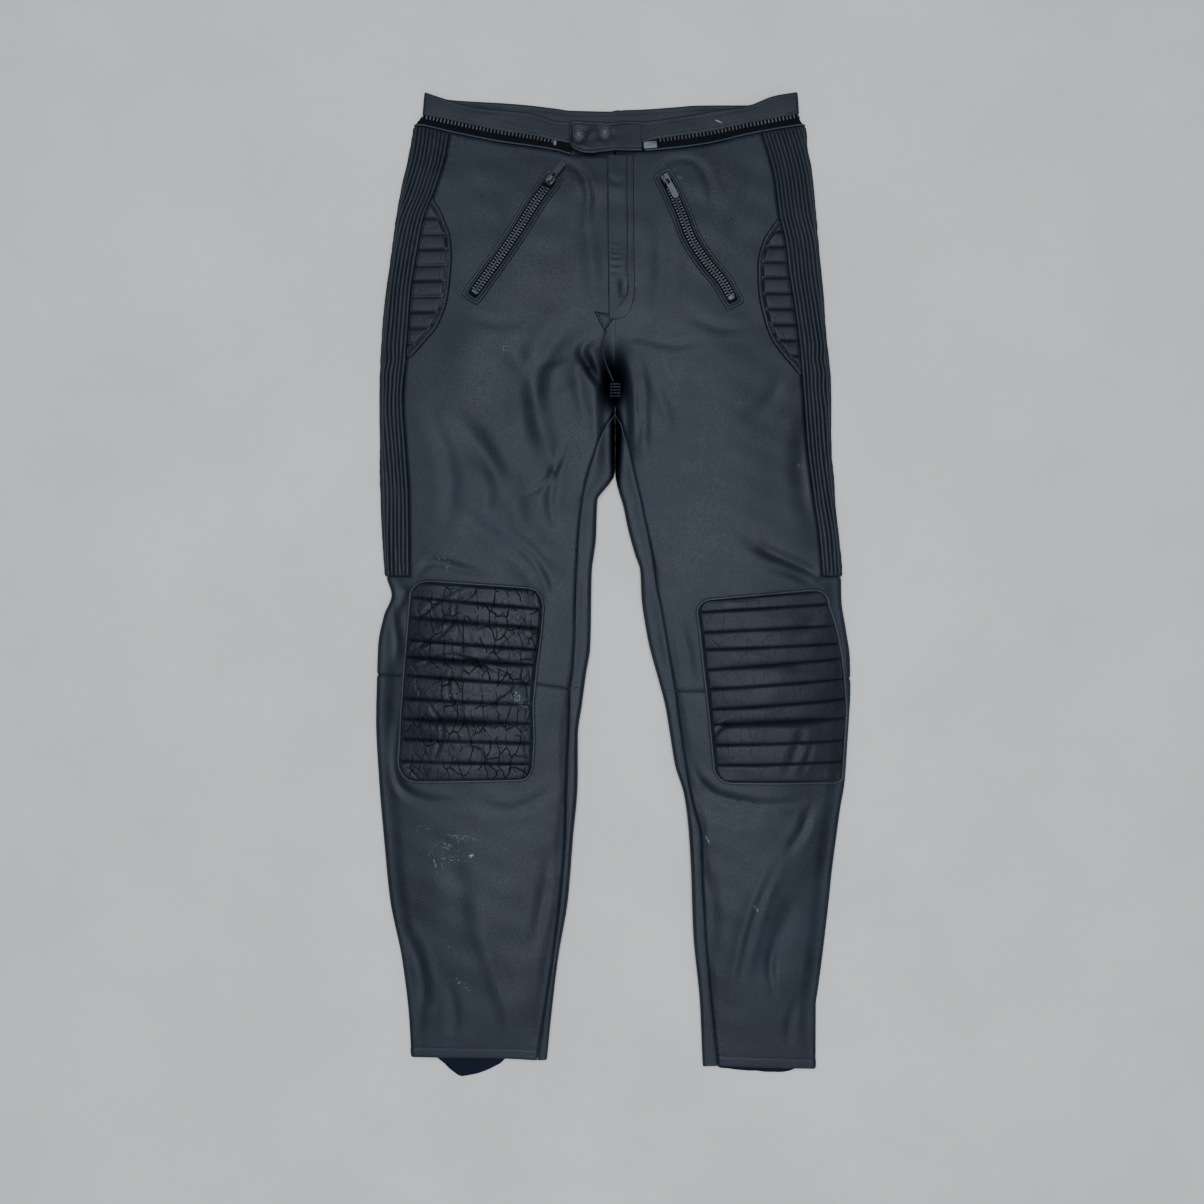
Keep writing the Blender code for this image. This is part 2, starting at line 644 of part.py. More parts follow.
def band_front(side, end_across, name):
    """One front half of the waistband, folded under at the side."""
    columns_count = 14
    start = lambda drop: -BAND_WRAP + SEAM
    end = lambda drop: place_of(side, end_across, drop)
    shares = [0.0, 0.04, 0.075, 0.11, 0.145, 0.18] + [mix(0.18, 1.0, c / 8) for c in range(1, 9)]
    columns = [between(start, end, share) for share in shares[:columns_count]]
    rows_places, rows_drops = [[], [], [], []], [[], [], [], []]
    for place in columns:
        under = place(10.0) < 0.0
        low = seam_drop(side, place, "front_top", under) + BAND_EDGE
        high = seam_drop(side, place, "band_bottom", under) - WAIST_SEAM
        for row, share in enumerate(BAND_ROWS):
            drop = mix(low, high, share)
            rows_drops[row].append(drop)
            rows_places[row].append(place(drop))
    outer, inner = panel_grids(side, rows_places, rows_drops, BAND_LEATHER)
    return make_object(name, wall_mesh(outer, inner), LEATHER_COLOUR, 0.42)


def band_back():
    """Back of the waistband, flat on the ground, whose inner face shows above the front."""
    outer, inner = [[], [], [], []], [[], [], [], []]
    steps = 7
    stations = [(RIGHT, step / steps) for step in range(steps + 1)]
    stations += [(LEFT, step / steps) for step in range(steps, -1, -1)]
    for side, share in stations:
        middle = lambda drop: place_of(side, side["centre"] + 0.05, drop, under=True)
        place = between(lambda drop: -BAND_WRAP - SEAM, middle, share)
        low = seam_drop(side, place, "front_top", under=True) + BAND_EDGE
        high = seam_drop(side, place, "band_bottom", under=True) - WAIST_SEAM
        for row, down in enumerate(BAND_ROWS):
            drop = mix(low, high, down)
            point = ring_point(side, place(drop), drop)
            point.z = 0.0
            outer[row].append(point)
            inner[row].append(point + Vector((0.0, 0.0, BAND_LEATHER)))
    return make_object("waistband_back", wall_mesh(outer, inner), LEATHER_COLOUR, 0.45)


RIGHT_ZIP_END = 59.0
LEFT_ZIP_END = 45.0
TEETH_HEIGHT = 1.5


def waist_zip():
    """Half of the connecting zip: one tape round the back, from front left to front right."""
    stations = []
    for side, end in ((RIGHT, RIGHT_ZIP_END), (LEFT, LEFT_ZIP_END)):
        front = [mix(place_of(side, end, 48.0), 9.0, c / 7) for c in range(8)]
        turn = [mix(9.0, -9.0, c / 6) for c in range(1, 7)]
        centre = place_of(side, side["centre"] + 0.05, 45.0, under=True)
        under = [mix(-9.0, centre, c / 5) for c in range(1, 6)]
        run = [(side, place) for place in front + turn + under]
        stations += run if side is RIGHT else run[::-1]
    outer, inner = [[], [], [], []], [[], [], [], []]
    for side, place in stations:
        steady = lambda drop, place=place: place
        under = place < 0.0
        low = seam_drop(side, steady, "band_bottom", under) + WAIST_SEAM
        high = seam_drop(side, steady, "panel_top", under) - WAIST_SEAM
        for row, share in enumerate(TAPE_ROWS):
            drop = mix(low, high, share)
            point = ring_point(side, place, drop)
            normal = ring_normal(side, place, drop)
            raised = TEETH_HEIGHT * smooth(0.5, 3.0, point.z) if row in (1, 2) else 0.0
            outer[row].append(point + normal * (raised - TAPE_SUNK))
            inner[row].append(point - normal * (ZIP_TAPE + TAPE_SUNK))
            if point.z < 0.01:
                outer[row][-1] = point
                inner[row][-1] = point - normal * ZIP_TAPE
    return make_object("waist_zip", wall_mesh(outer, inner), ZIP_COLOUR, 0.6)


def height_finder(objects):
    """Returns the height of the highest face of some objects at a place, in millimetres."""
    trees = []
    for made in objects:
        mesh = bmesh.new()
        mesh.from_mesh(made.data)
        trees.append(BVHTree.FromBMesh(mesh))
        mesh.free()

    def height(x, y, reach=2.0):
        best = 0.0
        for dx, dy in ((0, 0), (reach, 0), (-reach, 0), (0, reach), (0, -reach)):
            origin = Vector(((x + dx) * MM, (y + dy) * MM, 1.0))
            for tree in trees:
                hit = tree.ray_cast(origin, Vector((0.0, 0.0, -1.0)))[0]
                if hit is not None:
                    best = max(best, hit.z / MM)
        return best

    return height


def laid_piece(points, thickness, height, reach=2.0, rest=REST):
    """Outer and inner grids of a piece lying on the panels: points are x, drop pairs."""
    outer, inner = [], []
    for row, line in enumerate(points):
        outer.append([])
        inner.append([])
        for column, (x, drop) in enumerate(line):
            base = height(x, TOP_Y - drop, reach) + rest
            inner[-1].append(Vector((x, TOP_Y - drop, base)))
            outer[-1].append(Vector((x, TOP_Y - drop, base + thickness(row, column))))
    return outer, inner


PAD_CHANNELS = 10
PAD_STEPS = 3
PAD_COLUMNS = 9
PAD_CREST = 13.0
PAD_EDGE = 5.6
PAD_GROOVE = 2.2
PAD_DEEP_GROOVE = 4.2
PAD_REST = 0.6
PIPING_HEIGHT = 3.6
EDGE_MARGIN = 4.8


def knee_pad(side, height):
    """Padded knee panel: ten channels between sewn lines, inside a piped edge."""
    table = side["knee_pad"]
    lines = []
    for row in range(PAD_CHANNELS * PAD_STEPS + 1):
        line, part = divmod(row, PAD_STEPS)
        share = part / PAD_STEPS
        if line == PAD_CHANNELS:
            line, share = PAD_CHANNELS - 1, 1.0
        ends = {}
        for name in table.names[1:]:
            first = table.rows[line][table.names.index(name)]
            second = table.rows[line + 1][table.names.index(name)]
            bend = share
            if name.endswith("across"):
                if line == 0:
                    bend = math.sqrt(1.0 - (1.0 - share) ** 2)
                elif line == PAD_CHANNELS - 1:
                    bend = 1.0 - math.sqrt(1.0 - share ** 2)
            ends[name] = mix(first, second, bend)
        edge = side["side_edge"].read(ends["outer_drop"], "across") - EDGE_MARGIN
        ends["outer_across"] = min(ends["outer_across"], edge)
        points = []
        for column in range(PAD_COLUMNS + 1):
            part_across = column / PAD_COLUMNS
            across = mix(ends["outer_across"], ends["inner_across"], part_across)
            drop = mix(ends["outer_drop"], ends["inner_drop"], part_across)
            points.append((side["sign"] * across, drop))
        lines.append(points)

    def thickness(row, column):
        last = PAD_CHANNELS * PAD_STEPS
        if row in (0, last) or column in (0, PAD_COLUMNS):
            return PIPING_HEIGHT
        across = math.sin(math.pi * column / PAD_COLUMNS) ** 0.6
        along = math.sin(math.pi * row / last) ** 0.4
        body = mix(PAD_EDGE, PAD_CREST, across * along)
        if row % PAD_STEPS == 0:
            deep = side["deep_lines"].get(row // PAD_STEPS, 0.0)
            return body - mix(PAD_GROOVE, PAD_DEEP_GROOVE, deep)
        return body

    outer, inner = laid_piece(lines, thickness, height, reach=4.0, rest=PAD_REST)
    mesh = wall_mesh(outer, inner, row_step=PAD_STEPS, column_step=1)
    return make_object(side["name"] + "_knee_pad", mesh, LEATHER_COLOUR, 0.45)


HIP_CHANNELS = 10
HIP_COLUMNS = 4
HIP_CREST = 4.0
HIP_GROOVE = 1.8


def hip_pad(side, height):
    """D-shaped padded insert between its curved seam and the ribbed panel."""
    table = side["hip_pad"]
    first, last = table.rows[0][0], table.rows[-1][0]
    lines = []
    count = HIP_CHANNELS * PAD_STEPS
    for row in range(count + 1):
        drop = mix(first, last, row / count)
        ribbed = side["rib_seam"].read(drop, "across") - 1.0
        curve = min(table.read(drop, "across"), ribbed - 2.0)
        points = []
        for column in range(HIP_COLUMNS + 1):
            across = mix(curve, ribbed, column / HIP_COLUMNS)
            points.append((side["sign"] * across, drop))
        lines.append(points)

    def thickness(row, column):
        if row in (0, count) or column == 0 or row % PAD_STEPS == 0:
            return HIP_GROOVE
        return HIP_CREST if column < HIP_COLUMNS else HIP_CREST - 0.8

    outer, inner = laid_piece(lines, thickness, height, reach=3.0)
    mesh = wall_mesh(outer, inner, row_step=PAD_STEPS, column_step=1)
    return make_object(side["name"] + "_hip_pad", mesh, LEATHER_COLOUR, 0.45)


PLACKET = Table("drop left right", [
    (69, -6.5, 18.5), (110, -6.3, 19.0), (150, -6.0, 19.5), (190, -5.6, 20.0),
    (216, -5.4, 20.2), (229, -5.2, 18.5), (237, -5.0, 13.5), (241, -4.8, 6.0),
])
PLACKET_EDGE = 2.6
PLACKET_SEWN = 1.2


def fly_placket(height):
    """Flap over the fly zip: free edge on the wearer's right, sewn down on the left."""
    lines = []
    rows = 14
    for row in range(rows + 1):
        share = row / rows
        drop = mix(PLACKET.rows[0][0], PLACKET.rows[-1][0], share * (1.35 - 0.35 * share))
        left, right = PLACKET.read(drop, "left"), PLACKET.read(drop, "right")
        lines.append([(mix(left, right, column / 4), drop) for column in range(5)])

    def thickness(row, column):
        return mix(PLACKET_EDGE, PLACKET_SEWN, column / 4)

    outer, inner = laid_piece(lines, thickness, height)
    return make_object("fly_placket", wall_mesh(outer, inner), LEATHER_COLOUR, 0.42)


TAB = Table("x top bottom", [
    (-46.0, 33.0, 55.0), (-44.0, 31.5, 59.0), (-39.0, 31.0, 62.5), (-31.0, 31.5, 65.5),
    (-23.0, 32.0, 66.2), (-10.0, 32.8, 64.5), (4.0, 32.0, 63.0), (10.0, 30.6, 62.8),
    (20.0, 30.4, 62.6), (29.6, 31.0, 62.4),
])
TAB_LEATHER = 2.4
TAB_STEP = (-5.0, 24.0)


def waist_tab():
    """Tab of the wearer's left waistband, lapped over the right one."""
    outer, inner = [[], [], [], []], [[], [], [], []]
    count = 14
    for column in range(count + 1):
        share = column / count
        x = mix(TAB.rows[0][0], TAB.rows[-1][0], share ** 1.25)
        for row, down in enumerate(TAB_ROWS):
            drop = mix(TAB.read(x, "top"), TAB.read(x, "bottom"), down)
            band_top = ring_point(RIGHT, place_of(RIGHT, 20.0, drop), drop).z
            base = mix(band_top + 2 * REST, band_top - BAND_LEATHER, smooth(*TAB_STEP, x))
            inner[row].append(Vector((x, TOP_Y - drop, base)))
            outer[row].append(Vector((x, TOP_Y - drop, base + TAB_LEATHER)))
    return make_object("waistband_tab", wall_mesh(outer, inner), LEATHER_COLOUR, 0.4)


SNAPS = (("snap_outer", -36.0, 47.2), ("snap_inner", -8.7, 45.2))
SNAP_RADIUS = 6.4
SNAP_HEIGHT = 2.4


def snap_cap(name, x, drop, height):
    """Round press-stud cap with a sunk face."""
    base = height(x, TOP_Y - drop, SNAP_RADIUS) + REST
    profile = [(0.0, 0.0), (1.0, 0.0), (1.0, 0.45), (0.86, 0.92), (0.7, 1.0), (0.6, 0.8), (0.0, 0.8)]
    mesh = bmesh.new()
    sides = 16
    rings = []
    for share, rise in profile:
        z = (base + rise * SNAP_HEIGHT) * MM
        if share == 0.0:
            rings.append([mesh.verts.new((x * MM, (TOP_Y - drop) * MM, z))])
            continue
        ring = []
        for step in range(sides):
            angle = 2.0 * math.pi * step / sides
            across = x + SNAP_RADIUS * share * math.cos(angle)
            along = TOP_Y - drop + SNAP_RADIUS * share * math.sin(angle)
            ring.append(mesh.verts.new((across * MM, along * MM, z)))
        rings.append(ring)
    for first, second in zip(rings, rings[1:]):
        for step in range(sides):
            after = (step + 1) % sides
            if len(first) == 1:
                mesh.faces.new((first[0], second[after], second[step]))
            elif len(second) == 1:
                mesh.faces.new((first[step], first[after], second[0]))
            else:
                mesh.faces.new((first[step], first[after], second[after], second[step]))
    bmesh.ops.triangulate(mesh, faces=mesh.faces)
    return make_object(name, mesh, METAL_COLOUR, 0.35, 0.8)


# Cross-section of a pocket zip: welts each side of the sunk tape, with the closed chain on it
WELT_SECTION = Table("offset rise", [
    (-11.0, 0.9), (-8.0, 2.6), (-5.0, 2.2), (-3.6, 1.0), (-2.6, 2.2), (2.6, 2.2), (3.6, 1.0),
    (5.0, 2.2), (8.0, 2.6), (11.0, 0.9),
])
POCKET_STEPS = 12


def pocket_line(side, share):
    """Point and direction of a pocket zip's middle line, from its upper end."""
    table = side["pocket"]
    key = share * (len(table.rows) - 1)
    here = Vector((table.read(key, "across"), table.read(key, "drop"), 0.0))
    ahead = Vector((table.read(key + 0.05, "across"), table.read(key + 0.05, "drop"), 0.0))
    behind = Vector((table.read(key - 0.05, "across"), table.read(key - 0.05, "drop"), 0.0))
    along = (ahead - behind).normalized()
    return here, along


def pocket_zip(side, height):
    """Welts, tape and closed chain of one pocket zip, curved as it is sewn."""
    lines = []
    for step in range(POCKET_STEPS + 1):
        here, along = pocket_line(side, step / POCKET_STEPS)
        line = []
        for offset, _ in WELT_SECTION.rows:
            across = here.x + along.y * offset
            drop = here.y - along.x * offset
            line.append((side["sign"] * across, drop))
        lines.append(line)

    def thickness(row, column):
        if row in (0, POCKET_STEPS):
            return 1.0
        return WELT_SECTION.rows[column][1]

    outer, inner = laid_piece(lines, thickness, height)
    return make_object(side["name"] + "_pocket_zip", wall_mesh(outer, inner), ZIP_COLOUR, 0.5)


SLIDER_LENGTH = 11.0
SLIDER_WIDTH = 7.6
SLIDER_HEIGHT = 2.4
BRIDGE_WIDTH = 2.2
BRIDGE_SPAN = 5.4
BRIDGE_OPENING = 2.8
BRIDGE_THICK = 1.0
PULL_LENGTH = 24.0
PULL_WIDTH = 6.4
PULL_THICK = 1.2
PULL_WINDOW = 3.0
PULL_BAR = 0.7
SLIDER_SHARE = 0.055
SLIDER_NOSE = 1.3
PULL_MOST_DROOP = math.radians(9.0)
PULL_TESTS = (8.0, 12.0, 16.0, 20.0, 24.0)


def slider_frame(side, height):
    """Hinge centre of the pull on the slider's bridge, with the directions there."""
    here, along = pocket_line(side, SLIDER_SHARE)
    centre = Vector((side["sign"] * here.x, TOP_Y - here.y, 0.0))
    down = Vector((side["sign"] * along.x, -along.y, 0.0)).normalized()
    across = Vector((-down.y, down.x, 0.0))
    spots = [(f, o) for f in (-0.5, 0.0, 0.5) for o in (-0.5, 0.0, 0.5)]
    tops = []
    for forward, offset in spots:
        spot = centre + down * forward * SLIDER_LENGTH + across * offset * SLIDER_WIDTH
        tops.append(height(spot.x, spot.y, 0.4))
    base = max(tops) + REST
    centre.z = base + SLIDER_HEIGHT + BRIDGE_OPENING / 2
    return centre, down, across, base


def pull_droop(centre, outward, across, height):
    """How far the pull tips down before it meets what lies beneath it."""
    droop = PULL_MOST_DROOP
    for forward in PULL_TESTS:
        for offset in (-PULL_WIDTH / 2, 0.0, PULL_WIDTH / 2):
            spot = centre + outward * forward + across * offset
            room = centre.z - PULL_THICK / 2 - REST - height(spot.x, spot.y, 0.8)
            droop = min(droop, math.atan2(room, forward))
    return droop


def place_profile(mesh, outline, width, centre, along, across):
    """Extrude an outline of (along, height) points to both sides of the zip's middle."""
    rings = []
    for offset in (-width / 2, width / 2):
        ring = []
        for forward, rise in outline:
            point = centre + along * forward + across * offset + Vector((0.0, 0.0, rise))
            ring.append(mesh.verts.new(point * MM))
        rings.append(ring)
    count = len(outline)
    mesh.faces.new(rings[0])
    mesh.faces.new(list(reversed(rings[1])))
    for step in range(count):
        after = (step + 1) % count
        mesh.faces.new((rings[0][after], rings[0][step], rings[1][step], rings[1][after]))


def zip_slider(side, height):
    """Slider body with the arched bridge that holds the pull."""
    centre, down, across, base = slider_frame(side, height)
    flat = Vector((centre.x, centre.y, base))
    body = bmesh.new()
    half = SLIDER_LENGTH / 2
    top = SLIDER_HEIGHT + BRIDGE_OPENING + BRIDGE_THICK
    foot = BRIDGE_SPAN / 2
    outline = [
        (-half, 0.0), (half, 0.0), (half, SLIDER_NOSE), (foot + 1.0, SLIDER_HEIGHT),
        (-foot - 1.0, SLIDER_HEIGHT), (-half, SLIDER_NOSE),
    ]
    place_profile(body, outline, SLIDER_WIDTH, flat, down, across)
    arch = [
        (-foot - 1.0, SLIDER_HEIGHT - 0.4), (-foot, SLIDER_HEIGHT - 0.4), (-foot, top - 1.5),
        (-foot + 0.6, top - 1.0), (foot - 0.6, top - 1.0), (foot, top - 1.5),
        (foot, SLIDER_HEIGHT - 0.4), (foot + 1.0, SLIDER_HEIGHT - 0.4), (foot + 1.0, top - 1.0),
        (foot, top), (-foot, top), (-foot - 1.0, top - 1.0),
    ]
    bridge = bmesh.new()
    place_profile(bridge, arch, BRIDGE_WIDTH, flat, down, across)
    made = make_object(side["name"] + "_zip_slider", body, METAL_COLOUR, 0.35, 0.9)
    tool = make_object(side["name"] + "_bridge_shape", bridge, METAL_COLOUR, 0.35, 0.9)
    tool.hide_render = True
    tool.display_type = "WIRE"
    join = made.modifiers.new("bridge", "BOOLEAN")
    join.operation = "UNION"
    join.solver = "EXACT"
    join.object = tool
    return made


def zip_pull(side, height, towards):
    """Pull tab hinged on the bridge: towards is 1 down the zip, -1 past its upper end."""
    centre, down, across, _ = slider_frame(side, height)
    outward = down * towards
    droop = pull_droop(centre, outward, across, height)
    drooped = outward * math.cos(droop) - Vector((0.0, 0.0, 1.0)) * math.sin(droop)
    up = Vector((0.0, 0.0, 1.0)) * math.cos(droop) + outward * math.sin(droop)
    mesh = bmesh.new()
    frame = [(-PULL_BAR, PULL_WIDTH * 0.36), (0.8, PULL_WIDTH * 0.42), (7.0, PULL_WIDTH * 0.44),
             (9.0, PULL_WIDTH * 0.5), (PULL_LENGTH - 2.5, PULL_WIDTH * 0.5),
             (PULL_LENGTH - 0.8, PULL_WIDTH * 0.36), (PULL_LENGTH, PULL_WIDTH * 0.14)]
    window = [(PULL_BAR, PULL_WINDOW / 2), (6.6, PULL_WINDOW / 2), (7.4, PULL_WINDOW / 4)]
    loops = []
    for points in (frame, window):
        ring = list(points) + [(forward, -half) for forward, half in reversed(points)]
        for rise in (-PULL_THICK / 2, PULL_THICK / 2):
            loop = []
            for forward, offset in ring:
                point = drooped * forward + across * offset + up * rise
                loop.append(mesh.verts.new(point * MM))
            loops.append(loop)
    outer_low, outer_high, window_low, window_high = loops
    for low, high in ((outer_low, outer_high), (window_low, window_high)):
        for step in range(len(low)):
            after = (step + 1) % len(low)
            mesh.faces.new((low[step], low[after], high[after], high[step]))
    for outside, inside in ((outer_low, window_low), (outer_high, window_high)):
        edges = set()
        for loop in (outside, inside):
            for step in range(len(loop)):
                edge = mesh.edges.get((loop[step], loop[(step + 1) % len(loop)]))
                edges.add(edge)
        bmesh.ops.triangle_fill(mesh, use_beauty=True, use_dissolve=False, edges=list(edges))
    made = make_object(side["name"] + "_zip_pull", mesh, METAL_COLOUR, 0.35, 0.9)
    made.location = centre * MM
    return made


LINING_INSIDE = 18.0


def hem_lining(side):
    """Lining that hangs out below the hem, between the front and the back."""
    table = side["lining"]
    first, last = table.rows[0][0], table.rows[-1][0]
    outer, inner = [[], [], []], [[], [], []]
    count = 10
    level = LEATHER + 0.5
    for column in range(count + 1):
        across = mix(first, last, column / count)
        low = table.read(across, "drop")
        hem = side["hem"].read(across, "drop")
        for row, drop in enumerate((hem - LINING_INSIDE, hem - 1.0, low)):
            point = Vector((side["sign"] * across, TOP_Y - drop, level))
            inner[row].append(point)
            outer[row].append(point + Vector((0.0, 0.0, LINING)))
    return make_object(side["name"] + "_lining", wall_mesh(outer, inner), LINING_COLOUR, 0.8)


def main():
    for old in list(bpy.data.objects):
        bpy.data.objects.remove(old, do_unlink=True)
    carrying = []
    for side in (RIGHT, LEFT):
        carrying += [thigh_front(side), shin_front(side)]
        thigh_back(side)
        calf_back(side)
        ribbed_side(side)
        hem_lining(side)
    band_front(RIGHT, 8.0, "waistband_right_front")
    band_front(LEFT, 30.0, "waistband_left_front")
    band_back()
    waist_zip()
    on_panels = height_finder(carrying)
    for side in (RIGHT, LEFT):
        knee_pad(side, on_panels)
        hip_pad(side, on_panels)
    fly_placket(on_panels)
    tab = waist_tab()
    on_tab = height_finder([tab])
    for name, x, drop in SNAPS:
        snap_cap(name, x, drop, on_tab)
    for side, towards in ((RIGHT, -1), (LEFT, 1)):
        strip = pocket_zip(side, on_panels)
        on_strip = height_finder([strip] + carrying)
        zip_slider(side, on_strip)
        zip_pull(side, on_strip, towards)


main()
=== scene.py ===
"""Leather motorcycle trousers, laid flat with the front up: the looks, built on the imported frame.

Tables and working sizes are in millimetres, and points become metres when a mesh is made.
+X is towards the wearer's left, +Y towards the waist and +Z up. "drop" is the distance down from
the top of the waistband, "across" the distance from the middle on a table's own side, and "place"
the distance round the leather from the side edge, over the front and back along the underside.
"""
import math

import bmesh
import bpy
import numpy as np
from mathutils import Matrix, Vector, noise


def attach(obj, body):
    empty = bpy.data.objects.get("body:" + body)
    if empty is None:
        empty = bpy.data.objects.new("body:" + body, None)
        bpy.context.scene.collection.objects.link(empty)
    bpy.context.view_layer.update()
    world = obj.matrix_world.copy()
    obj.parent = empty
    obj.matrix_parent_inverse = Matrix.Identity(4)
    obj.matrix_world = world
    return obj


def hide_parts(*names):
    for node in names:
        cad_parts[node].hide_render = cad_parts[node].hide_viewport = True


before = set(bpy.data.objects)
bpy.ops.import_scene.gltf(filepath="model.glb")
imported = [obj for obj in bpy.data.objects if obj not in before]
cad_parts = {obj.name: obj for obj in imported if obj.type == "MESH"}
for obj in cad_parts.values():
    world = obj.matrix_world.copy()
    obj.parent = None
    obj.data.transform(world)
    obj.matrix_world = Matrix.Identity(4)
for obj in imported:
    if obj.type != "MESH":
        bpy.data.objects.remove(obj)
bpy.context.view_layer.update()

# Driving sizes, shared with the solids
MM = 0.001
TOP_Y = 517.0
LEATHER = 1.4
BAND_LEATHER = 2.0
LINING = 0.8
SEAM = 0.15
WAIST_SEAM = 0.3
BACK_WAIST_SEAM = 0.8
BACK_WAIST_RISE = 20.0
CENTRE_X = 2.0
BACK_MIDDLE = 2.05
CROTCH_DROP = 282.0
PARTED_DROP = 329.0
INSEAM_TURN = 22.0
RIB_END = 509.0
RIB_COUNT = 12
RIB_PITCH = 4.15
RIB_WIDTH = 58.0
RIB_HEIGHT = 1.25
SIDE_SEAM_UNDER = 10.0
SIDE_SEAM_EASE = 40.0
SIDE_LINE_EASE = 120.0
KNEE_WRAP = 30.0
BAND_WRAP = 12.0
STEP = 0.4
REST = 0.35
EDGE_FADE = 16.0
FOLD_START = (40.0, 110.0)
FOLD_END = (975.0, 1010.0)
PARTING_LEAD = 90.0
PARTING_TAIL = 20.0
INSIDE_GAP = 4.0


def mix(first, second, share):
    return first + (second - first) * share


def smooth(low, high, value):
    share = np.clip((value - low) / (high - low), 0.0, 1.0)
    return share * share * (3.0 - 2.0 * share)


def bell(value, width):
    """1 where the value is nothing, about a third at the width, and soon nothing beyond it."""
    return np.exp(-((value / width) ** 2))


def unit(way):
    return way / np.linalg.norm(way)


def points_at(x, drop, height):
    """Points in millimetres from their x, their drop and their height."""
    return np.stack([x, TOP_Y - drop, height], axis=-1)


class Table:
    """Rows of sizes under named columns, read smoothly and without overshoot between rows."""

    def __init__(self, columns, rows):
        self.names = columns.split()
        self.rows = rows
        self.values = np.array(rows, float)

    def read(self, key, name):
        keys = self.values[:, 0]
        values = self.values[:, self.names.index(name)]
        key = np.clip(np.asarray(key, float), keys[0], keys[-1])
        slopes = np.diff(values) / np.diff(keys)
        before, after = slopes[:-1], slopes[1:]
        total = np.where(before + after == 0.0, 1.0, before + after)
        middle = np.where(before * after > 0.0, 2.0 * before * after / total, 0.0)
        tangents = np.concatenate([slopes[:1], middle, slopes[-1:]])
        row = np.clip(np.searchsorted(keys, key) - 1, 0, len(keys) - 2)
        width = keys[row + 1] - keys[row]
        share = (key - keys[row]) / width
        square = share * share
        cube = square * share
        return (
            values[row] * (2 * cube - 3 * square + 1)
            + tangents[row] * width * (cube - 2 * square + share)
            + values[row + 1] * (3 * square - 2 * cube)
            + tangents[row + 1] * width * (cube - square)
        )


# The rolled edge's radius and how far the stuffed front stands above it, down the garment
SECTION = Table("drop radius loft", [
    (0, 3.2, 0.0), (30, 3.2, 0.0), (60, 3.8, 1.0), (100, 4.6, 3.8), (160, 5.0, 6.5),
    (240, 5.2, 8.0), (320, 5.4, 8.5), (420, 5.2, 8.0), (500, 5.0, 8.5), (560, 5.0, 9.5),
    (640, 5.0, 10.5), (700, 5.0, 9.5), (760, 5.0, 8.0), (860, 4.8, 7.5), (960, 4.0, 5.0),
    (1005, 3.2, 2.2), (1026, 3.0, 1.2),
])

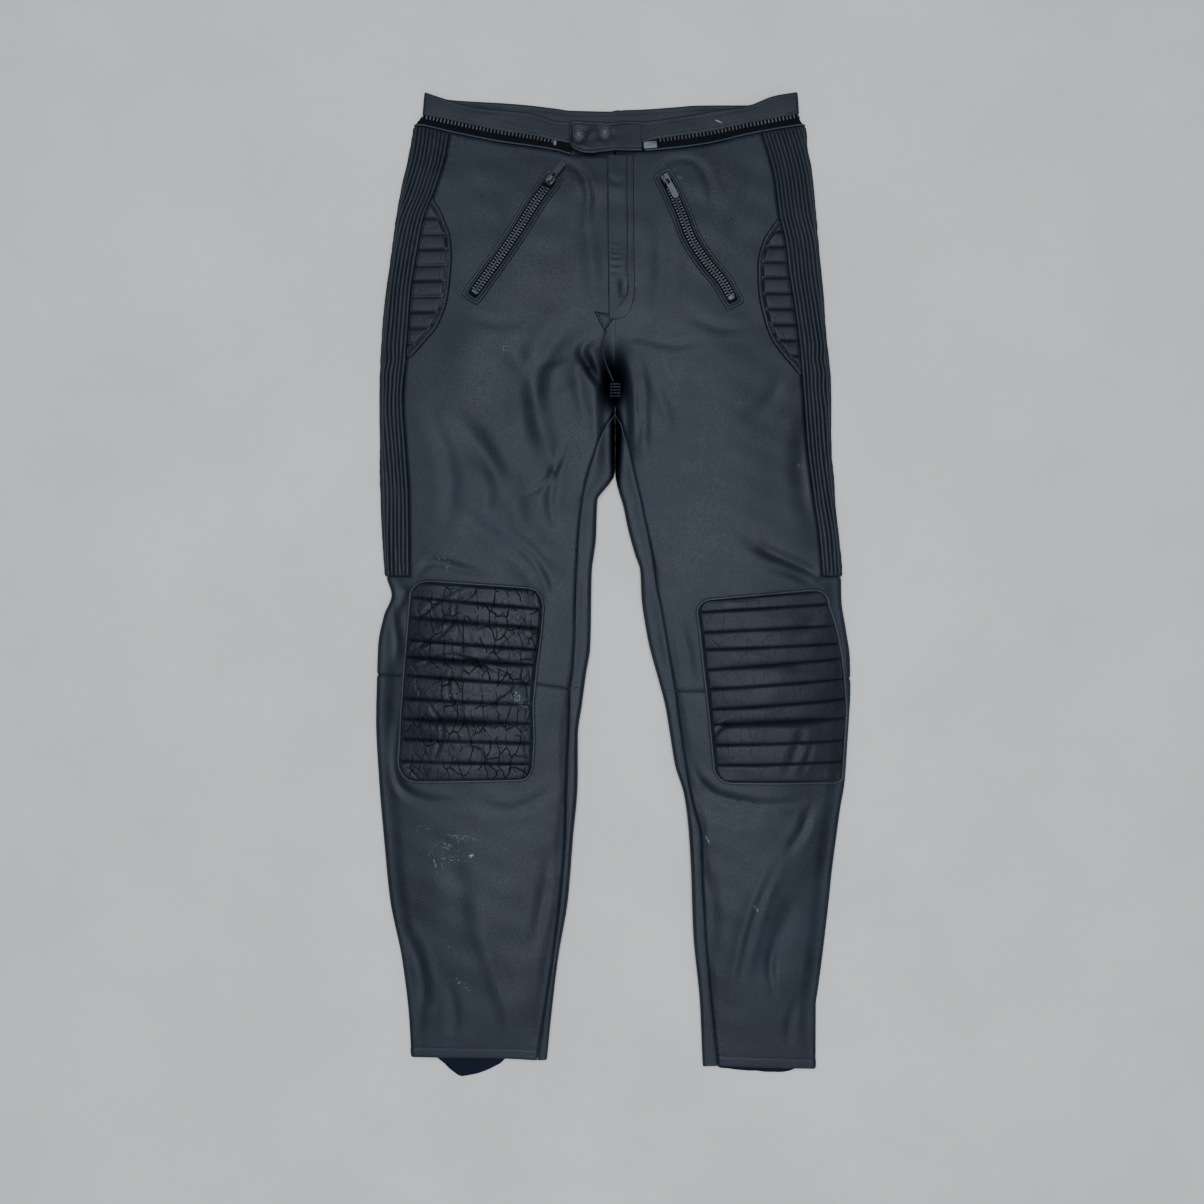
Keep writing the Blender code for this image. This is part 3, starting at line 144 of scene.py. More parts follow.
RIGHT = {
    "name": "right",
    "sign": -1,
    "centre": -CENTRE_X,
    "side_edge": Table("drop across", [
        (0, 198.7), (24, 201.0), (33, 208.2), (46, 210.3), (72, 215.1), (105, 222.3),
        (140, 228.1), (187, 234.4), (250, 241.8), (313, 243.9), (376, 243.9), (439, 242.8),
        (486, 240.7), (508, 238.6), (528, 232.8), (549, 240.7), (581, 247.0), (612, 248.1),
        (659, 249.1), (722, 246.0), (785, 240.7), (848, 234.4), (911, 221.8), (974, 214.5),
        (1016, 212.4),
    ]),
    "inner_edge": Table("drop across", [
        (0, -1.85), (400, -1.85), (413, 5.0), (428, 16.5), (470, 18.1), (486, 20.2),
        (502, 22.3), (581, 23.9), (612, 28.6), (644, 32.8), (675, 37.0), (722, 37.2),
        (785, 42.3), (848, 47.5), (911, 58.0), (974, 65.4), (1016, 69.6),
    ]),
    "inseam": Table("drop across", [
        (329, 2.0), (345, 6.0), (376, 18.1), (407, 27.6), (430, 31.8), (467, 36.0),
        (503, 38.1), (546, 39.1), (600, 41.2), (627, 44.4), (672, 46.5), (727, 48.6),
        (775, 49.9), (802, 51.5), (869, 58.0), (933, 66.9), (1005, 78.0), (1016, 79.5),
    ]),
    "rib_seam": Table("drop across", [
        (36, 171.0), (67, 175.6), (107, 187.2), (134, 197.7), (158, 202.9), (182, 207.1),
        (212, 211.3), (285, 216.6), (322, 219.7), (376, 216.6), (430, 213.4), (509, 212.9),
    ]),
    "waist": Table("across back_top front_top band_bottom panel_top", [
        (7, 18.9, 31.5, 60.9, 68.3), (46, 17.9, 31.0, 54.1, 66.2), (57, 16.3, 30.5, 52.0, 63.0),
        (87, 12.6, 22.0, 45.7, 57.8), (117, 10.1, 18.9, 41.0, 53.6), (144, 8.6, 16.1, 35.7, 48.4),
        (171, 6.7, 9.1, 29.9, 42.5), (199, 0.0, 0.0, 24.2, 35.7),
    ]),
    "knee_seam": Table("across drop", [(30, 628.0), (80, 621.0), (215, 612.5), (250, 611.5)]),
    "hem": Table("across drop", [(70, 1017.0), (130, 1013.5), (212, 1013.0)]),
    "hip_pad": Table("drop across", [
        (112, 189.5), (124, 181.5), (140, 174.6), (157, 169.3), (176, 168.2), (194, 169.3),
        (220, 172.5), (248, 183.0), (266, 197.7), (281, 210.8),
    ]),
    "knee_pad": Table("line outer_across outer_drop inner_across inner_drop", [
        (0, 192.4, 513.5, 87.4, 520.8), (1, 211.8, 530.3, 72.7, 542.9),
        (2, 213.4, 551.3, 74.3, 562.8), (3, 215.0, 574.4, 76.9, 584.9),
        (4, 216.6, 592.2, 79.0, 600.6), (5, 218.1, 611.1, 81.1, 620.6),
        (6, 219.7, 635.3, 83.2, 641.6), (7, 221.3, 656.3, 82.7, 661.5),
        (8, 222.3, 677.3, 82.2, 681.5), (9, 223.9, 700.4, 83.7, 703.0),
        (10, 205.0, 722.4, 96.9, 720.3),
    ]),
    "deep_lines": {4: 1.0, 7: 1.0, 2: 0.4},
    "pocket": Table("along across drop", [
        (0, 63.0, 93.0), (1, 70.5, 103.5), (2, 83.0, 121.5), (3, 99.5, 148.5),
        (4, 119.0, 177.5), (5, 133.5, 197.5), (6, 152.5, 224.5),
    ]),
    "lining": Table("across drop", [
        (112, 1014.0), (120, 1021.5), (150, 1033.0), (158, 1034.0), (181, 1018.5), (186, 1014.0),
    ]),
}

LEFT = {
    "name": "left",
    "sign": 1,
    "centre": CENTRE_X,
    "side_edge": Table("drop across", [
        (0, 194.0), (26, 196.1), (36, 201.3), (61, 203.4), (77, 206.6), (92, 208.7),
        (124, 211.8), (155, 213.9), (187, 217.1), (218, 220.2), (250, 222.3), (313, 227.6),
        (376, 228.0), (407, 230.7), (439, 232.8), (470, 236.0), (502, 239.1), (533, 239.7),
        (565, 244.4), (596, 248.6), (628, 249.1), (659, 247.5), (691, 245.4), (722, 243.3),
        (754, 238.1), (785, 233.9), (817, 229.7), (848, 226.5), (911, 219.2), (943, 215.0),
        (959, 212.9), (1026, 212.9),
    ]),
    "inner_edge": Table("drop across", [
        (0, 2.15), (400, 2.15), (439, 11.3), (455, 14.4), (486, 22.8), (502, 28.1),
        (533, 29.7), (565, 34.4), (581, 37.5), (612, 45.9), (644, 54.3), (675, 59.6),
        (707, 64.8), (738, 74.3), (770, 78.5), (817, 81.6), (880, 83.7), (959, 91.1),
        (1006, 93.2), (1026, 94.2),
    ]),
    "inseam": Table("drop across", [
        (329, 4.0), (345, 8.5), (368, 14.0), (391, 19.0), (418, 25.5), (455, 33.8),
        (485, 39.6), (521, 44.9), (546, 50.1), (591, 57.5), (627, 63.8), (664, 69.0),
        (699, 74.3), (739, 81.5), (783, 91.1), (839, 93.2), (915, 98.4), (977, 104.7),
        (1026, 110.5),
    ]),
    "rib_seam": Table("drop across", [
        (36, 153.0), (45, 156.2), (89, 167.7), (130, 173.0), (158, 179.3), (194, 183.5),
        (230, 189.3), (268, 194.0), (322, 198.2), (376, 202.4), (430, 209.2), (467, 215.0),
        (509, 218.5),
    ]),
    "waist": Table("across back_top front_top band_bottom panel_top", [
        (7, 17.5, 31.5, 56.0, 66.0), (30, 16.8, 31.0, 53.5, 63.5), (46, 15.8, 29.4, 49.6, 62.0),
        (67, 14.2, 26.3, 46.7, 59.8), (88, 12.6, 23.1, 43.6, 57.0), (105, 12.4, 20.0, 40.8, 54.0),
        (142, 12.3, 14.2, 33.0, 45.0), (169, 3.2, 4.2, 28.0, 39.8), (194, 0.0, 0.0, 23.0, 35.7),
    ]),
    "knee_seam": Table("across drop", [(45, 629.0), (96, 628.0), (240, 616.0), (250, 615.5)]),
    "hem": Table("across drop", [(94, 1021.5), (213, 1025.5)]),
    "hip_pad": Table("drop across", [
        (136, 171.0), (146, 163.5), (158, 156.2), (185, 149.9), (212, 150.9), (239, 156.2),
        (260, 163.5), (275, 173.0), (288, 184.0), (299, 193.5),
    ]),
    "knee_pad": Table("line outer_across outer_drop inner_across inner_drop", [
        (0, 208.7, 522.9, 103.7, 532.4), (1, 224.4, 537.6, 86.9, 546.0),
        (2, 231.8, 559.7, 89.5, 567.0), (3, 236.0, 578.6, 91.6, 584.9),
        (4, 238.6, 594.3, 93.7, 605.9), (5, 241.2, 615.3, 96.3, 625.8),
        (6, 242.8, 636.3, 98.4, 646.8), (7, 243.9, 656.3, 100.0, 662.6),
        (8, 244.9, 679.4, 102.1, 683.6), (9, 245.4, 701.4, 104.2, 704.6),
        (10, 230.7, 723.5, 122.1, 723.5),
    ]),
    "deep_lines": {7: 1.2, 4: 0.4, 6: 0.3},
    "pocket": Table("along across drop", [
        (0, 52.5, 91.0), (1, 58.5, 102.0), (2, 70.0, 129.0), (3, 80.6, 156.5),
        (4, 98.4, 183.8), (5, 113.1, 201.6), (6, 130.0, 232.5),
    ]),
    "lining": Table("across drop", [
        (108, 1022.0), (112, 1025.0), (145, 1028.5), (178, 1030.0), (190, 1026.5), (194, 1023.0),
    ]),
}

# Large folds of the front: how wide, how high (below 0 is a trough), and the line along x, drop
FOLDS = [
    ("right thigh trough", 13, -3.2, [(-110, 259), (-83, 313), (-71, 350), (-65, 383)]),
    ("right thigh diagonal", 14, -3.8, [(-178, 331), (-110, 413), (-97, 458), (-48, 500)]),
    ("right knee diagonal", 12, -2.8, [(-158, 448), (-102, 490), (-65, 528)]),
    ("right crotch bulge", 20, 3.2, [(-62, 285), (-50, 318)]),
    ("right thigh crown", 26, 2.0, [(-140, 200), (-160, 300)]),
    ("right shin ridge", 13, 2.2, [(-150, 840), (-118, 925), (-92, 1000)]),
    ("right side notch", 10, -3.0, [(-236, 522), (-214, 531)]),
    ("left inner ridge", 11, 2.4, [(26, 290), (34, 397)]),
    ("left thigh crown", 30, 1.6, [(110, 260), (130, 420)]),
    ("left above knee", 10, -2.4, [(146, 476), (215, 508)]),
    ("left below knee", 10, -2.4, [(83, 724), (105, 742), (160, 752)]),
    ("left shin ridge", 12, 2.6, [(171, 805), (148, 847), (135, 886), (121, 943)]),
    ("left shin trough", 11, -2.2, [(190, 840), (165, 900), (158, 935)]),
]

# Finer creases of the front, in the same form, each fading towards its ends
CREASES = [
    ("right crotch line", 3.0, -1.6, [(-50, 370), (-60, 396), (-80, 418), (-96, 424)]),
    ("right thigh line", 4.5, -1.4, [(-66, 372), (-62, 400), (-66, 432), (-60, 462)]),
    ("right groin line", 5.0, -0.9, [(-24, 262), (-38, 300), (-32, 332), (-18, 362)]),
    ("right groin hook", 3.2, -1.8, [(-14, 258), (-30, 268), (-40, 290)]),
    ("right fly drape", 9.0, -1.6, [(-30, 95), (-26, 150), (-20, 205), (-16, 240)]),
    ("right pocket arc", 4.0, -1.3, [(-60, 70), (-36, 84), (-26, 108), (-28, 140)]),
    ("right pocket fold", 6.0, -1.0, [(-150, 236), (-120, 246), (-92, 240)]),
    ("right hip drape", 10.0, -1.2, [(-148, 80), (-128, 120), (-112, 160)]),
    ("right outer thigh", 8.0, -1.2, [(-196, 330), (-176, 372), (-168, 420), (-176, 460)]),
    ("right mid thigh", 7.0, -1.4, [(-150, 352), (-128, 388), (-120, 424), (-126, 462)]),
    ("right knee cap line", 4.0, -1.5, [(-206, 505), (-188, 494), (-160, 500), (-134, 507)]),
    ("right knee inner line", 4.0, -1.4, [(-66, 540), (-74, 508), (-96, 480), (-130, 462)]),
    ("right pinch upper", 3.4, -1.9, [(-238, 519), (-228, 526), (-212, 524)]),
    ("right pinch lower", 4.0, -1.7, [(-240, 532), (-232, 548), (-226, 576), (-228, 600)]),
    ("right pad corner", 4.5, -1.8,
     [(-226, 655), (-229, 700), (-222, 728), (-196, 742), (-150, 744)]),
    ("right below pad", 5.0, -1.2, [(-140, 746), (-110, 752), (-84, 744), (-60, 730)]),
    ("right shin outer", 6.0, -1.8, [(-226, 872), (-208, 900), (-199, 938), (-206, 984)]),
    ("right shin long", 7.0, -1.4, [(-134, 868), (-118, 912), (-102, 962), (-92, 1002)]),
    ("right shin soft", 11.0, -1.2, [(-176, 790), (-160, 830), (-158, 872)]),
    ("right ankle line", 6.0, -1.2, [(-172, 930), (-166, 965), (-170, 1002)]),
    ("right inner calf", 6.0, -1.2, [(-66, 800), (-74, 850), (-84, 900)]),
    ("right hem pull", 3.0, -0.8, [(-196, 1008), (-176, 996), (-150, 1000)]),
    ("right thigh hollow", 8.5, -2.7,
     [(-36, 236), (-61, 266), (-79, 300), (-82, 332), (-75, 366), (-66, 394)]),
    ("crotch hollow", 10.0, -12.0, [(-1, 262), (1, 300), (3, 345), (5, 390)]),
    ("crotch wedge", 4.5, -4.5, [(-34, 272), (-24, 292), (-12, 312)]),
    ("left crotch line", 4.0, -1.8, [(14, 272), (24, 300), (27, 340), (24, 380)]),
    ("left crotch hook", 3.0, -1.4, [(10, 258), (34, 262), (62, 268), (92, 264)]),
    ("left groin line", 5.0, -1.0, [(36, 300), (52, 330), (60, 362)]),
    ("left pocket arc", 4.0, -1.3, [(40, 92), (58, 74), (84, 74), (98, 92), (104, 122)]),
    ("left pocket fold", 5.0, -1.2, [(150, 240), (128, 250), (100, 246), (78, 236)]),
    ("left fly drape", 8.0, -1.3, [(46, 120), (50, 170), (46, 220), (34, 250)]),
    ("left hip drape", 10.0, -1.2, [(150, 64), (146, 100), (128, 140), (122, 168)]),
    ("left hip line", 7.0, -1.0, [(176, 300), (160, 330), (130, 350)]),
    ("left outer thigh", 9.0, -1.3, [(206, 330), (196, 380), (200, 430), (214, 470)]),
    ("left mid thigh", 9.0, -0.9, [(90, 300), (96, 350), (88, 410)]),
    ("left knee upper", 4.5, -1.7, [(140, 473), (170, 487), (200, 500), (222, 514)]),
    ("left knee upper small", 3.4, -1.1, [(160, 500), (188, 507), (214, 520)]),
    ("left knee side", 3.6, -1.6, [(232, 520), (240, 548), (246, 580), (247, 612)]),
    ("left inner knee", 5.0, -1.2, [(70, 560), (78, 590), (82, 620)]),
    ("left below pad", 3.6, -2.0, [(82, 704), (92, 724), (112, 738), (158, 746), (196, 744)]),
    ("left below pad low", 6.0, -1.3, [(86, 744), (112, 758), (150, 762)]),
    ("left shin upper", 5.0, -1.5, [(206, 748), (196, 775), (180, 796)]),
    ("left shin ray", 4.5, -1.6, [(171, 806), (154, 842), (142, 880), (130, 934)]),
    ("left shin fork", 4.0, -1.2, [(170, 884), (164, 916), (168, 948)]),
    ("left shin inner", 6.0, -1.2, [(96, 812), (104, 860), (100, 915)]),
    ("left ankle line", 5.0, -1.0, [(192, 950), (184, 982), (188, 1014)]),
]
# Short puckers across the narrow strips beside the inseams
STRIP_PUCKERS = Table("x1 drop1 x2 drop2", [
    (-37, 424, -14, 430), (-40, 434, -20, 428), (-41, 480, -24, 486), (-42, 494, -22, 490),
    (-42, 502, -26, 506), (-44, 560, -26, 556), (-46, 628, -34, 634), (-48, 640, -38, 637),
    (-49, 674, -37, 680), (-51, 684, -38, 676), (-53, 742, -42, 748), (-60, 815, -48, 812),
    (12, 418, 26, 424), (14, 432, 30, 428), (24, 470, 38, 476), (30, 516, 44, 512),
    (36, 560, 52, 566), (50, 610, 64, 606), (60, 660, 72, 666), (70, 716, 80, 710),
    (78, 742, 92, 752), (80, 756, 94, 760),
])
# Creases pressed into the underside
UNDER_CREASES = [
    ("right seat", 12.0, 1.4, [(-30, 120), (-70, 190), (-90, 260)]),
    ("right thigh back", 9.0, 1.3, [(-200, 300), (-140, 350), (-60, 372)]),
    ("right knee back", 5.0, 1.8, [(-215, 590), (-150, 600), (-60, 588)]),
    ("right knee back low", 5.0, 1.6, [(-210, 630), (-140, 622), (-64, 634)]),
    ("right knee back fork", 4.0, 1.3, [(-180, 560), (-130, 575), (-80, 566)]),
    ("right calf back", 9.0, 1.3, [(-180, 720), (-150, 800), (-130, 880)]),
    ("right ankle back", 6.0, 1.2, [(-190, 950), (-140, 960), (-90, 948)]),
    ("left seat", 12.0, 1.4, [(34, 130), (76, 196), (96, 270)]),
    ("left thigh back", 9.0, 1.3, [(196, 310), (136, 356), (52, 380)]),
    ("left knee back", 5.0, 1.8, [(224, 586), (160, 598), (70, 600)]),
    ("left knee back low", 5.0, 1.6, [(226, 628), (160, 636), (86, 626)]),
    ("left knee back fork", 4.0, 1.3, [(200, 560), (150, 570), (90, 562)]),
    ("left calf back", 9.0, 1.3, [(190, 730), (160, 800), (140, 886)]),
    ("left ankle back", 6.0, 1.2, [(196, 952), (156, 964), (116, 950)]),
]
CREASE_POINTS = 7
RIPPLE_COUNT = 9
RIPPLE_LENGTHS = (26.0, 95.0)
RIPPLE_HEIGHT = 0.16
PUCKER_WIDTH = 2.0
PUCKER_DEPTH = -0.8


def rounded(points):
    """A smooth line through a few points."""
    points = np.array(points, float)
    ends = np.vstack([2 * points[0] - points[1], points, 2 * points[-1] - points[-2]])
    line = []
    for before, first, second, after in zip(ends, ends[1:], ends[2:], ends[3:]):
        for step in range(CREASE_POINTS):
            t = step / CREASE_POINTS
            line.append(0.5 * (
                2 * first + (second - before) * t
                + (2 * before - 5 * first + 4 * second - after) * t * t
                + (3 * first - before - 3 * second + after) * t ** 3
            ))
    line.append(points[-1])
    return np.array(line)


def nearest_on(line, x, drop):
    """Distance of each place from a line, and how far along the line it is, from 0 to 1."""
    lengths = np.linalg.norm(np.diff(line, axis=0), axis=1)
    starts = np.concatenate([[0.0], np.cumsum(lengths)])
    distance = np.full(x.shape, 1e9)
    along = np.zeros(x.shape)
    for first, second, start, length in zip(line, line[1:], starts, lengths):
        run, fall = second - first
        share = ((x - first[0]) * run + (drop - first[1]) * fall) / (length * length)
        share = np.clip(share, 0.0, 1.0)
        away = np.hypot(x - first[0] - share * run, drop - first[1] - share * fall)
        closer = away < distance
        distance = np.where(closer, away, distance)
        along = np.where(closer, (start + share * length) / starts[-1], along)
    return distance, along


def near_lines(lines, x, drop, shape):
    """Adds up shape(distance, along, half_width, height) of every line, close to each line."""
    shape_given = np.shape(x)
    x, drop = np.atleast_1d(x), np.atleast_1d(drop)
    total = np.zeros(x.shape)
    for _, half_width, height, line in lines:
        reach = 3.2 * half_width
        low, high = np.min(line, axis=0) - reach, np.max(line, axis=0) + reach
        near = (x > low[0]) & (x < high[0]) & (drop > low[1]) & (drop < high[1])
        if near.any():
            distance, along = nearest_on(np.array(line, float), x[near], drop[near])
            total[near] += shape(distance, along, half_width, height)
    return total.reshape(shape_given)


def plain_fold(distance, along, half_width, height):
    ends = smooth(0.0, 0.22, along) * smooth(1.0, 0.78, along)
    return height * bell(distance, half_width) * mix(0.25, 1.0, ends)


def soft_crease(distance, along, half_width, height):
    """A trough with a low shoulder each side, fading to nothing at both ends."""
    fade = np.sin(np.pi * np.clip(along, 0.02, 0.98)) ** 0.7
    trough = bell(distance, half_width)
    shoulder = bell(distance - 1.9 * half_width, half_width)
    return height * fade * (trough - 0.3 * shoulder)


def softened(table):
    """The rows of a table of creases, with their lines rounded."""
    return [(name, half_width, height, rounded(line)) for name, half_width, height, line in table]


PUCKERS = [
    ("pucker", PUCKER_WIDTH, PUCKER_DEPTH, [(x1, d1), (x2, d2)])
    for x1, d1, x2, d2 in STRIP_PUCKERS.rows
]
FINE_CREASES = softened(CREASES) + PUCKERS
FINE_UNDER = softened(UNDER_CREASES)


def ripples(x, drop):
    """Gentle unevenness of worn hide."""
    draw = np.random.default_rng(21)
    total = np.zeros(np.shape(x))
    for _ in range(RIPPLE_COUNT):
        length = draw.uniform(*RIPPLE_LENGTHS)
        angle, phase = draw.uniform(0.0, np.pi), draw.uniform(0.0, 2 * np.pi)
        travel = x * math.cos(angle) + drop * math.sin(angle)
        bend = 9.0 * np.sin(drop / 61.0 + phase) + 7.0 * np.sin(x / 47.0 - phase)
        total += np.sin(2 * np.pi * (travel + bend) / length + phase)
    return total * RIPPLE_HEIGHT


def lay_detail(x, drop):
    """All that the lying leather does on its front beyond its plain loft."""
    fine = near_lines(FINE_CREASES, x, drop, soft_crease)
    return near_lines(FOLDS, x, drop, plain_fold) + fine + ripples(x, drop)


def parted(drop):
    """0 where both halves share one body, 1 where each leg is a tube of its own."""
    return smooth(CROTCH_DROP, PARTED_DROP, drop)


def radius(drop):
    return SECTION.read(drop, "radius")


def half_ring(side, drop):
    """Length of leather from the side edge over the front to the inner edge."""
    width = side["side_edge"].read(drop, "across") - side["inner_edge"].read(drop, "across")
    return width + (math.pi - 2.0) * radius(drop)


def loft(side, across, drop):
    """How far the front stands above its rolled edges."""
    outer = side["side_edge"].read(drop, "across")
    inner = side["inner_edge"].read(drop, "across")
    round_edge = radius(drop)
    parting = smooth(CROTCH_DROP - PARTING_LEAD, PARTED_DROP + PARTING_TAIL, drop)
    share = np.clip((outer - across) / (outer - inner), 0.0, 1.0)
    leg = np.sin(np.pi * share)
    hips = np.sin(np.pi * share / 2.0)
    inner_fade = mix(1.0, smooth(0.0, EDGE_FADE, across - round_edge - inner), parted(drop))
    fade = smooth(0.0, EDGE_FADE, outer - round_edge - across) * inner_fade
    raised = SECTION.read(drop, "loft") * mix(hips, leg, parting)
    lay = smooth(*FOLD_START, drop) * (1.0 - smooth(*FOLD_END, drop))
    raised = raised + lay_detail(side["sign"] * across, drop) * lay
    return np.maximum(raised * fade, INSIDE_GAP - 2 * round_edge)


def ring_point(side, place, drop):
    """Points of the leather's outer face round one half."""
    place, drop = np.broadcast_arrays(np.asarray(place, float), np.asarray(drop, float))
    shape_given = place.shape
    place, drop = np.atleast_1d(place), np.atleast_1d(drop)
    outer = side["side_edge"].read(drop, "across")
    inner = side["inner_edge"].read(drop, "across")
    round_edge = radius(drop)
    quarter = round_edge * np.pi / 2
    length = half_ring(side, drop)
    place = np.where(place < 0.0, place + 2.0 * length, place)
    on_top = place <= length
    from_outer = np.where(on_top, place, 2.0 * length - place)
    from_inner = np.abs(length - place)
    turn = np.where(on_top, 1.0, -1.0)
    level = np.where(on_top, 2.0 * round_edge, 0.0)
    share = parted(drop)
    round_in = round_edge * (1.0 - np.cos(from_inner / round_edge))
    rolled_out = from_outer < quarter
    rolled_in = ~rolled_out & (from_inner < quarter)
    across = outer - round_edge - (from_outer - quarter)
    by_inner = inner + mix(from_inner * 2.0 / np.pi, round_in, share)
    across = np.where(rolled_in, by_inner, across)
    by_outer = outer - round_edge * (1.0 - np.cos(from_outer / round_edge))
    across = np.where(rolled_out, by_outer, across)
    inner_height = mix(level, round_edge * (1.0 + turn * np.sin(from_inner / round_edge)), share)
    height = np.where(rolled_in, inner_height, level)
    outer_height = round_edge * (1.0 + turn * np.sin(from_outer / round_edge))
    height = np.where(rolled_out, outer_height, height)
    height = height + np.where(on_top, loft(side, across, drop), 0.0)
    flat = ~on_top & ~rolled_out & ~rolled_in
    if flat.any():
        x = side["sign"] * across
        pressed = near_lines(FINE_UNDER, x, drop, soft_crease)
        room = smooth(0.0, EDGE_FADE, np.minimum(from_outer, from_inner) - quarter)
        height = height + np.where(flat, np.maximum(pressed, 0.0) * room, 0.0)
    points = points_at(side["sign"] * across, drop, height)
    return points.reshape(*shape_given, 3)


def ring_normal(side, place, drop):
    """Outward directions of the leather."""
    along = ring_point(side, place + STEP, drop) - ring_point(side, place - STEP, drop)
    down = ring_point(side, place, drop + STEP) - ring_point(side, place, drop - STEP)
    normal = np.cross(along, down) * side["sign"]
    return normal / np.maximum(np.linalg.norm(normal, axis=-1, keepdims=True), 1e-9)


def front_height(x, drop):
    """Height of the front's outer face at any x and drop."""
    x, drop = np.broadcast_arrays(np.asarray(x, float), np.asarray(drop, float))
    shape_given = x.shape
    x, drop = np.atleast_1d(x), np.atleast_1d(drop)
    result = np.zeros(x.shape)
    for side in (RIGHT, LEFT):
        here = x * side["sign"] > 0.0
        if here.any():
            across, down = np.abs(x[here]), drop[here]
            outer = side["side_edge"].read(down, "across")
            inner = side["inner_edge"].read(down, "across")
            r = radius(down)
            past = np.clip((across - outer + r) / r, 0.0, 1.0)
            short = np.clip((inner + r - across) / r, 0.0, 1.0) * parted(down)
            rolled = r * (1.0 + np.sqrt(1.0 - np.maximum(past, short) ** 2))
            result[here] = rolled + loft(side, across, down)
    return result.reshape(shape_given)


def on_front(x, drop, lift=0.0):
    """Points a given lift above the front."""
    x, drop = np.broadcast_arrays(np.asarray(x, float), np.asarray(drop, float))
    return points_at(x, drop, front_height(x, drop) + lift)


def place_of(side, across, drop, under=False):
    """The place round the leg of a point across the front, or across the underside."""
    round_edge = radius(drop)
    outer = side["side_edge"].read(drop, "across")
    place = round_edge * np.pi / 2 + (outer - round_edge - across)
    return -place if under else place


def rib_place(side, drop):
    """Place of the seam between the front and the ribbed panel, and of its line below it."""
    level = np.minimum(drop, RIB_END)
    here = place_of(side, side["rib_seam"].read(level, "across"), level)
    return mix(here, KNEE_WRAP, smooth(RIB_END, RIB_END + SIDE_LINE_EASE, drop))


def under_place(side, drop):
    """Place of the seam on the underside between the side and the back."""
    ribbed = rib_place(side, np.minimum(drop, RIB_END)) - RIB_WIDTH
    return mix(ribbed, -SIDE_SEAM_UNDER, smooth(RIB_END, RIB_END + SIDE_SEAM_EASE, drop))


def inseam_place(side, drop):
    """Place of the inseam. Above the crotch it is the middle of the garment."""
    inner = side["inner_edge"].read(drop, "across")
    round_edge = radius(drop)
    inset = np.maximum(0.0, side["inseam"].read(drop, "across") - inner)
    short = round_edge * np.arccos(np.clip(1.0 - inset / round_edge, -1.0, 1.0))
    strip = np.where(inset < round_edge, short, round_edge * np.pi / 2 + inset - round_edge)
    return half_ring(side, drop) - strip * smooth(PARTED_DROP, PARTED_DROP + INSEAM_TURN, drop)


def waist_line(side, across, name, under):
    """Drop of a waist seam, on the front, or on the underside where the back waist dips."""
    waist = side["waist"]
    edge = waist.rows[-1][0]
    dip = BACK_WAIST_RISE * np.maximum(0.0, 1.0 - (across / edge) ** 2)
    behind = waist.read(across, "back_top") if name == "front_top" else waist.read(edge, name) + dip
    return np.where(under, behind, waist.read(across, name))


def crossings(side, lines, line_at, start):
    """Drops where a cross line meets each of several lines that run down the garment."""
    drops = np.full(len(lines), float(start))
    for _ in range(10):
        places = np.array([float(line(drop)) for line, drop in zip(lines, drops)])
        drops = line_at(side["sign"] * ring_point(side, places, drops)[..., 0])
    return drops


def seam_drops(side, lines, name, under=False):
    return crossings(side, lines, lambda across: waist_line(side, across, name, under), 40.0)


def line_drops(side, lines, table):
    return crossings(side, lines, lambda across: table.read(across, "drop"), table.rows[0][1])


# Finishes

def feed(tree, node, **inputs):
    """Give a node's inputs, by name or as at0, at1, values or other nodes' outputs."""
    for key, value in inputs.items():
        name = key.replace("_", " ")
        socket = node.inputs[int(name[2:])] if name.startswith("at") else node.inputs[name]
        if isinstance(value, bpy.types.NodeSocket):
            tree.links.new(value, socket)
        else:
            socket.default_value = value


def put(tree, kind, settings=None, **inputs):
    """Add a node with its settings and inputs."""
    made = tree.nodes.new(kind)
    for key, value in (settings or {}).items():
        setattr(made, key, value)
    feed(tree, made, **inputs)
    return made


def sums(tree, operation, first, second, clamp=False):
    made = put(tree, "ShaderNodeMath", {"operation": operation, "use_clamp": clamp},
               at0=first, at1=second)
    return made.outputs[0]


def times(tree, first, second):
    return sums(tree, "MULTIPLY", first, second)


def blend(tree, share, first, second):
    """One colour mixed into another by a mask."""
    first, second = [(*colour, 1.0) if isinstance(colour, tuple) else colour
                     for colour in (first, second)]
    made = put(tree, "ShaderNodeMix", {"data_type": "RGBA"}, at0=share, at6=first, at7=second)
    return made.outputs[2]


def bumped(tree, strength, distance, height):
    made = put(tree, "ShaderNodeBump", Strength=strength, Distance=distance, Height=height)
    return made.outputs["Normal"]


def spread(tree, value, low, high, to_low=0.0, to_high=1.0):
    """A value moved from one range to another, smoothly and within its ends."""
    made = put(tree, "ShaderNodeMapRange", {"interpolation_type": "SMOOTHSTEP"},
               Value=value, From_Min=low, From_Max=high, To_Min=to_low, To_Max=to_high)
    return made.outputs["Result"]


def new_group(name, inputs, outputs):
    """A shared effect with named inputs and outputs."""
    tree = bpy.data.node_groups.new(name, "ShaderNodeTree")
    for label, kind, value in inputs:
        socket = tree.interface.new_socket(label, in_out="INPUT", socket_type=kind)
        if value is not None:
            socket.default_value = value
    for label, kind in outputs:
        tree.interface.new_socket(label, in_out="OUTPUT", socket_type=kind)
    return tree, tree.nodes.new("NodeGroupInput"), tree.nodes.new("NodeGroupOutput")


def noise_at(tree, place, scale, detail=3.0, rough=0.55):
    made = put(tree, "ShaderNodeTexNoise", Vector=place, Scale=scale, Detail=detail,
               Roughness=rough)
    return made.outputs["Fac"]


def object_place(tree):
    return tree.nodes.new("ShaderNodeTexCoord").outputs["Object"]


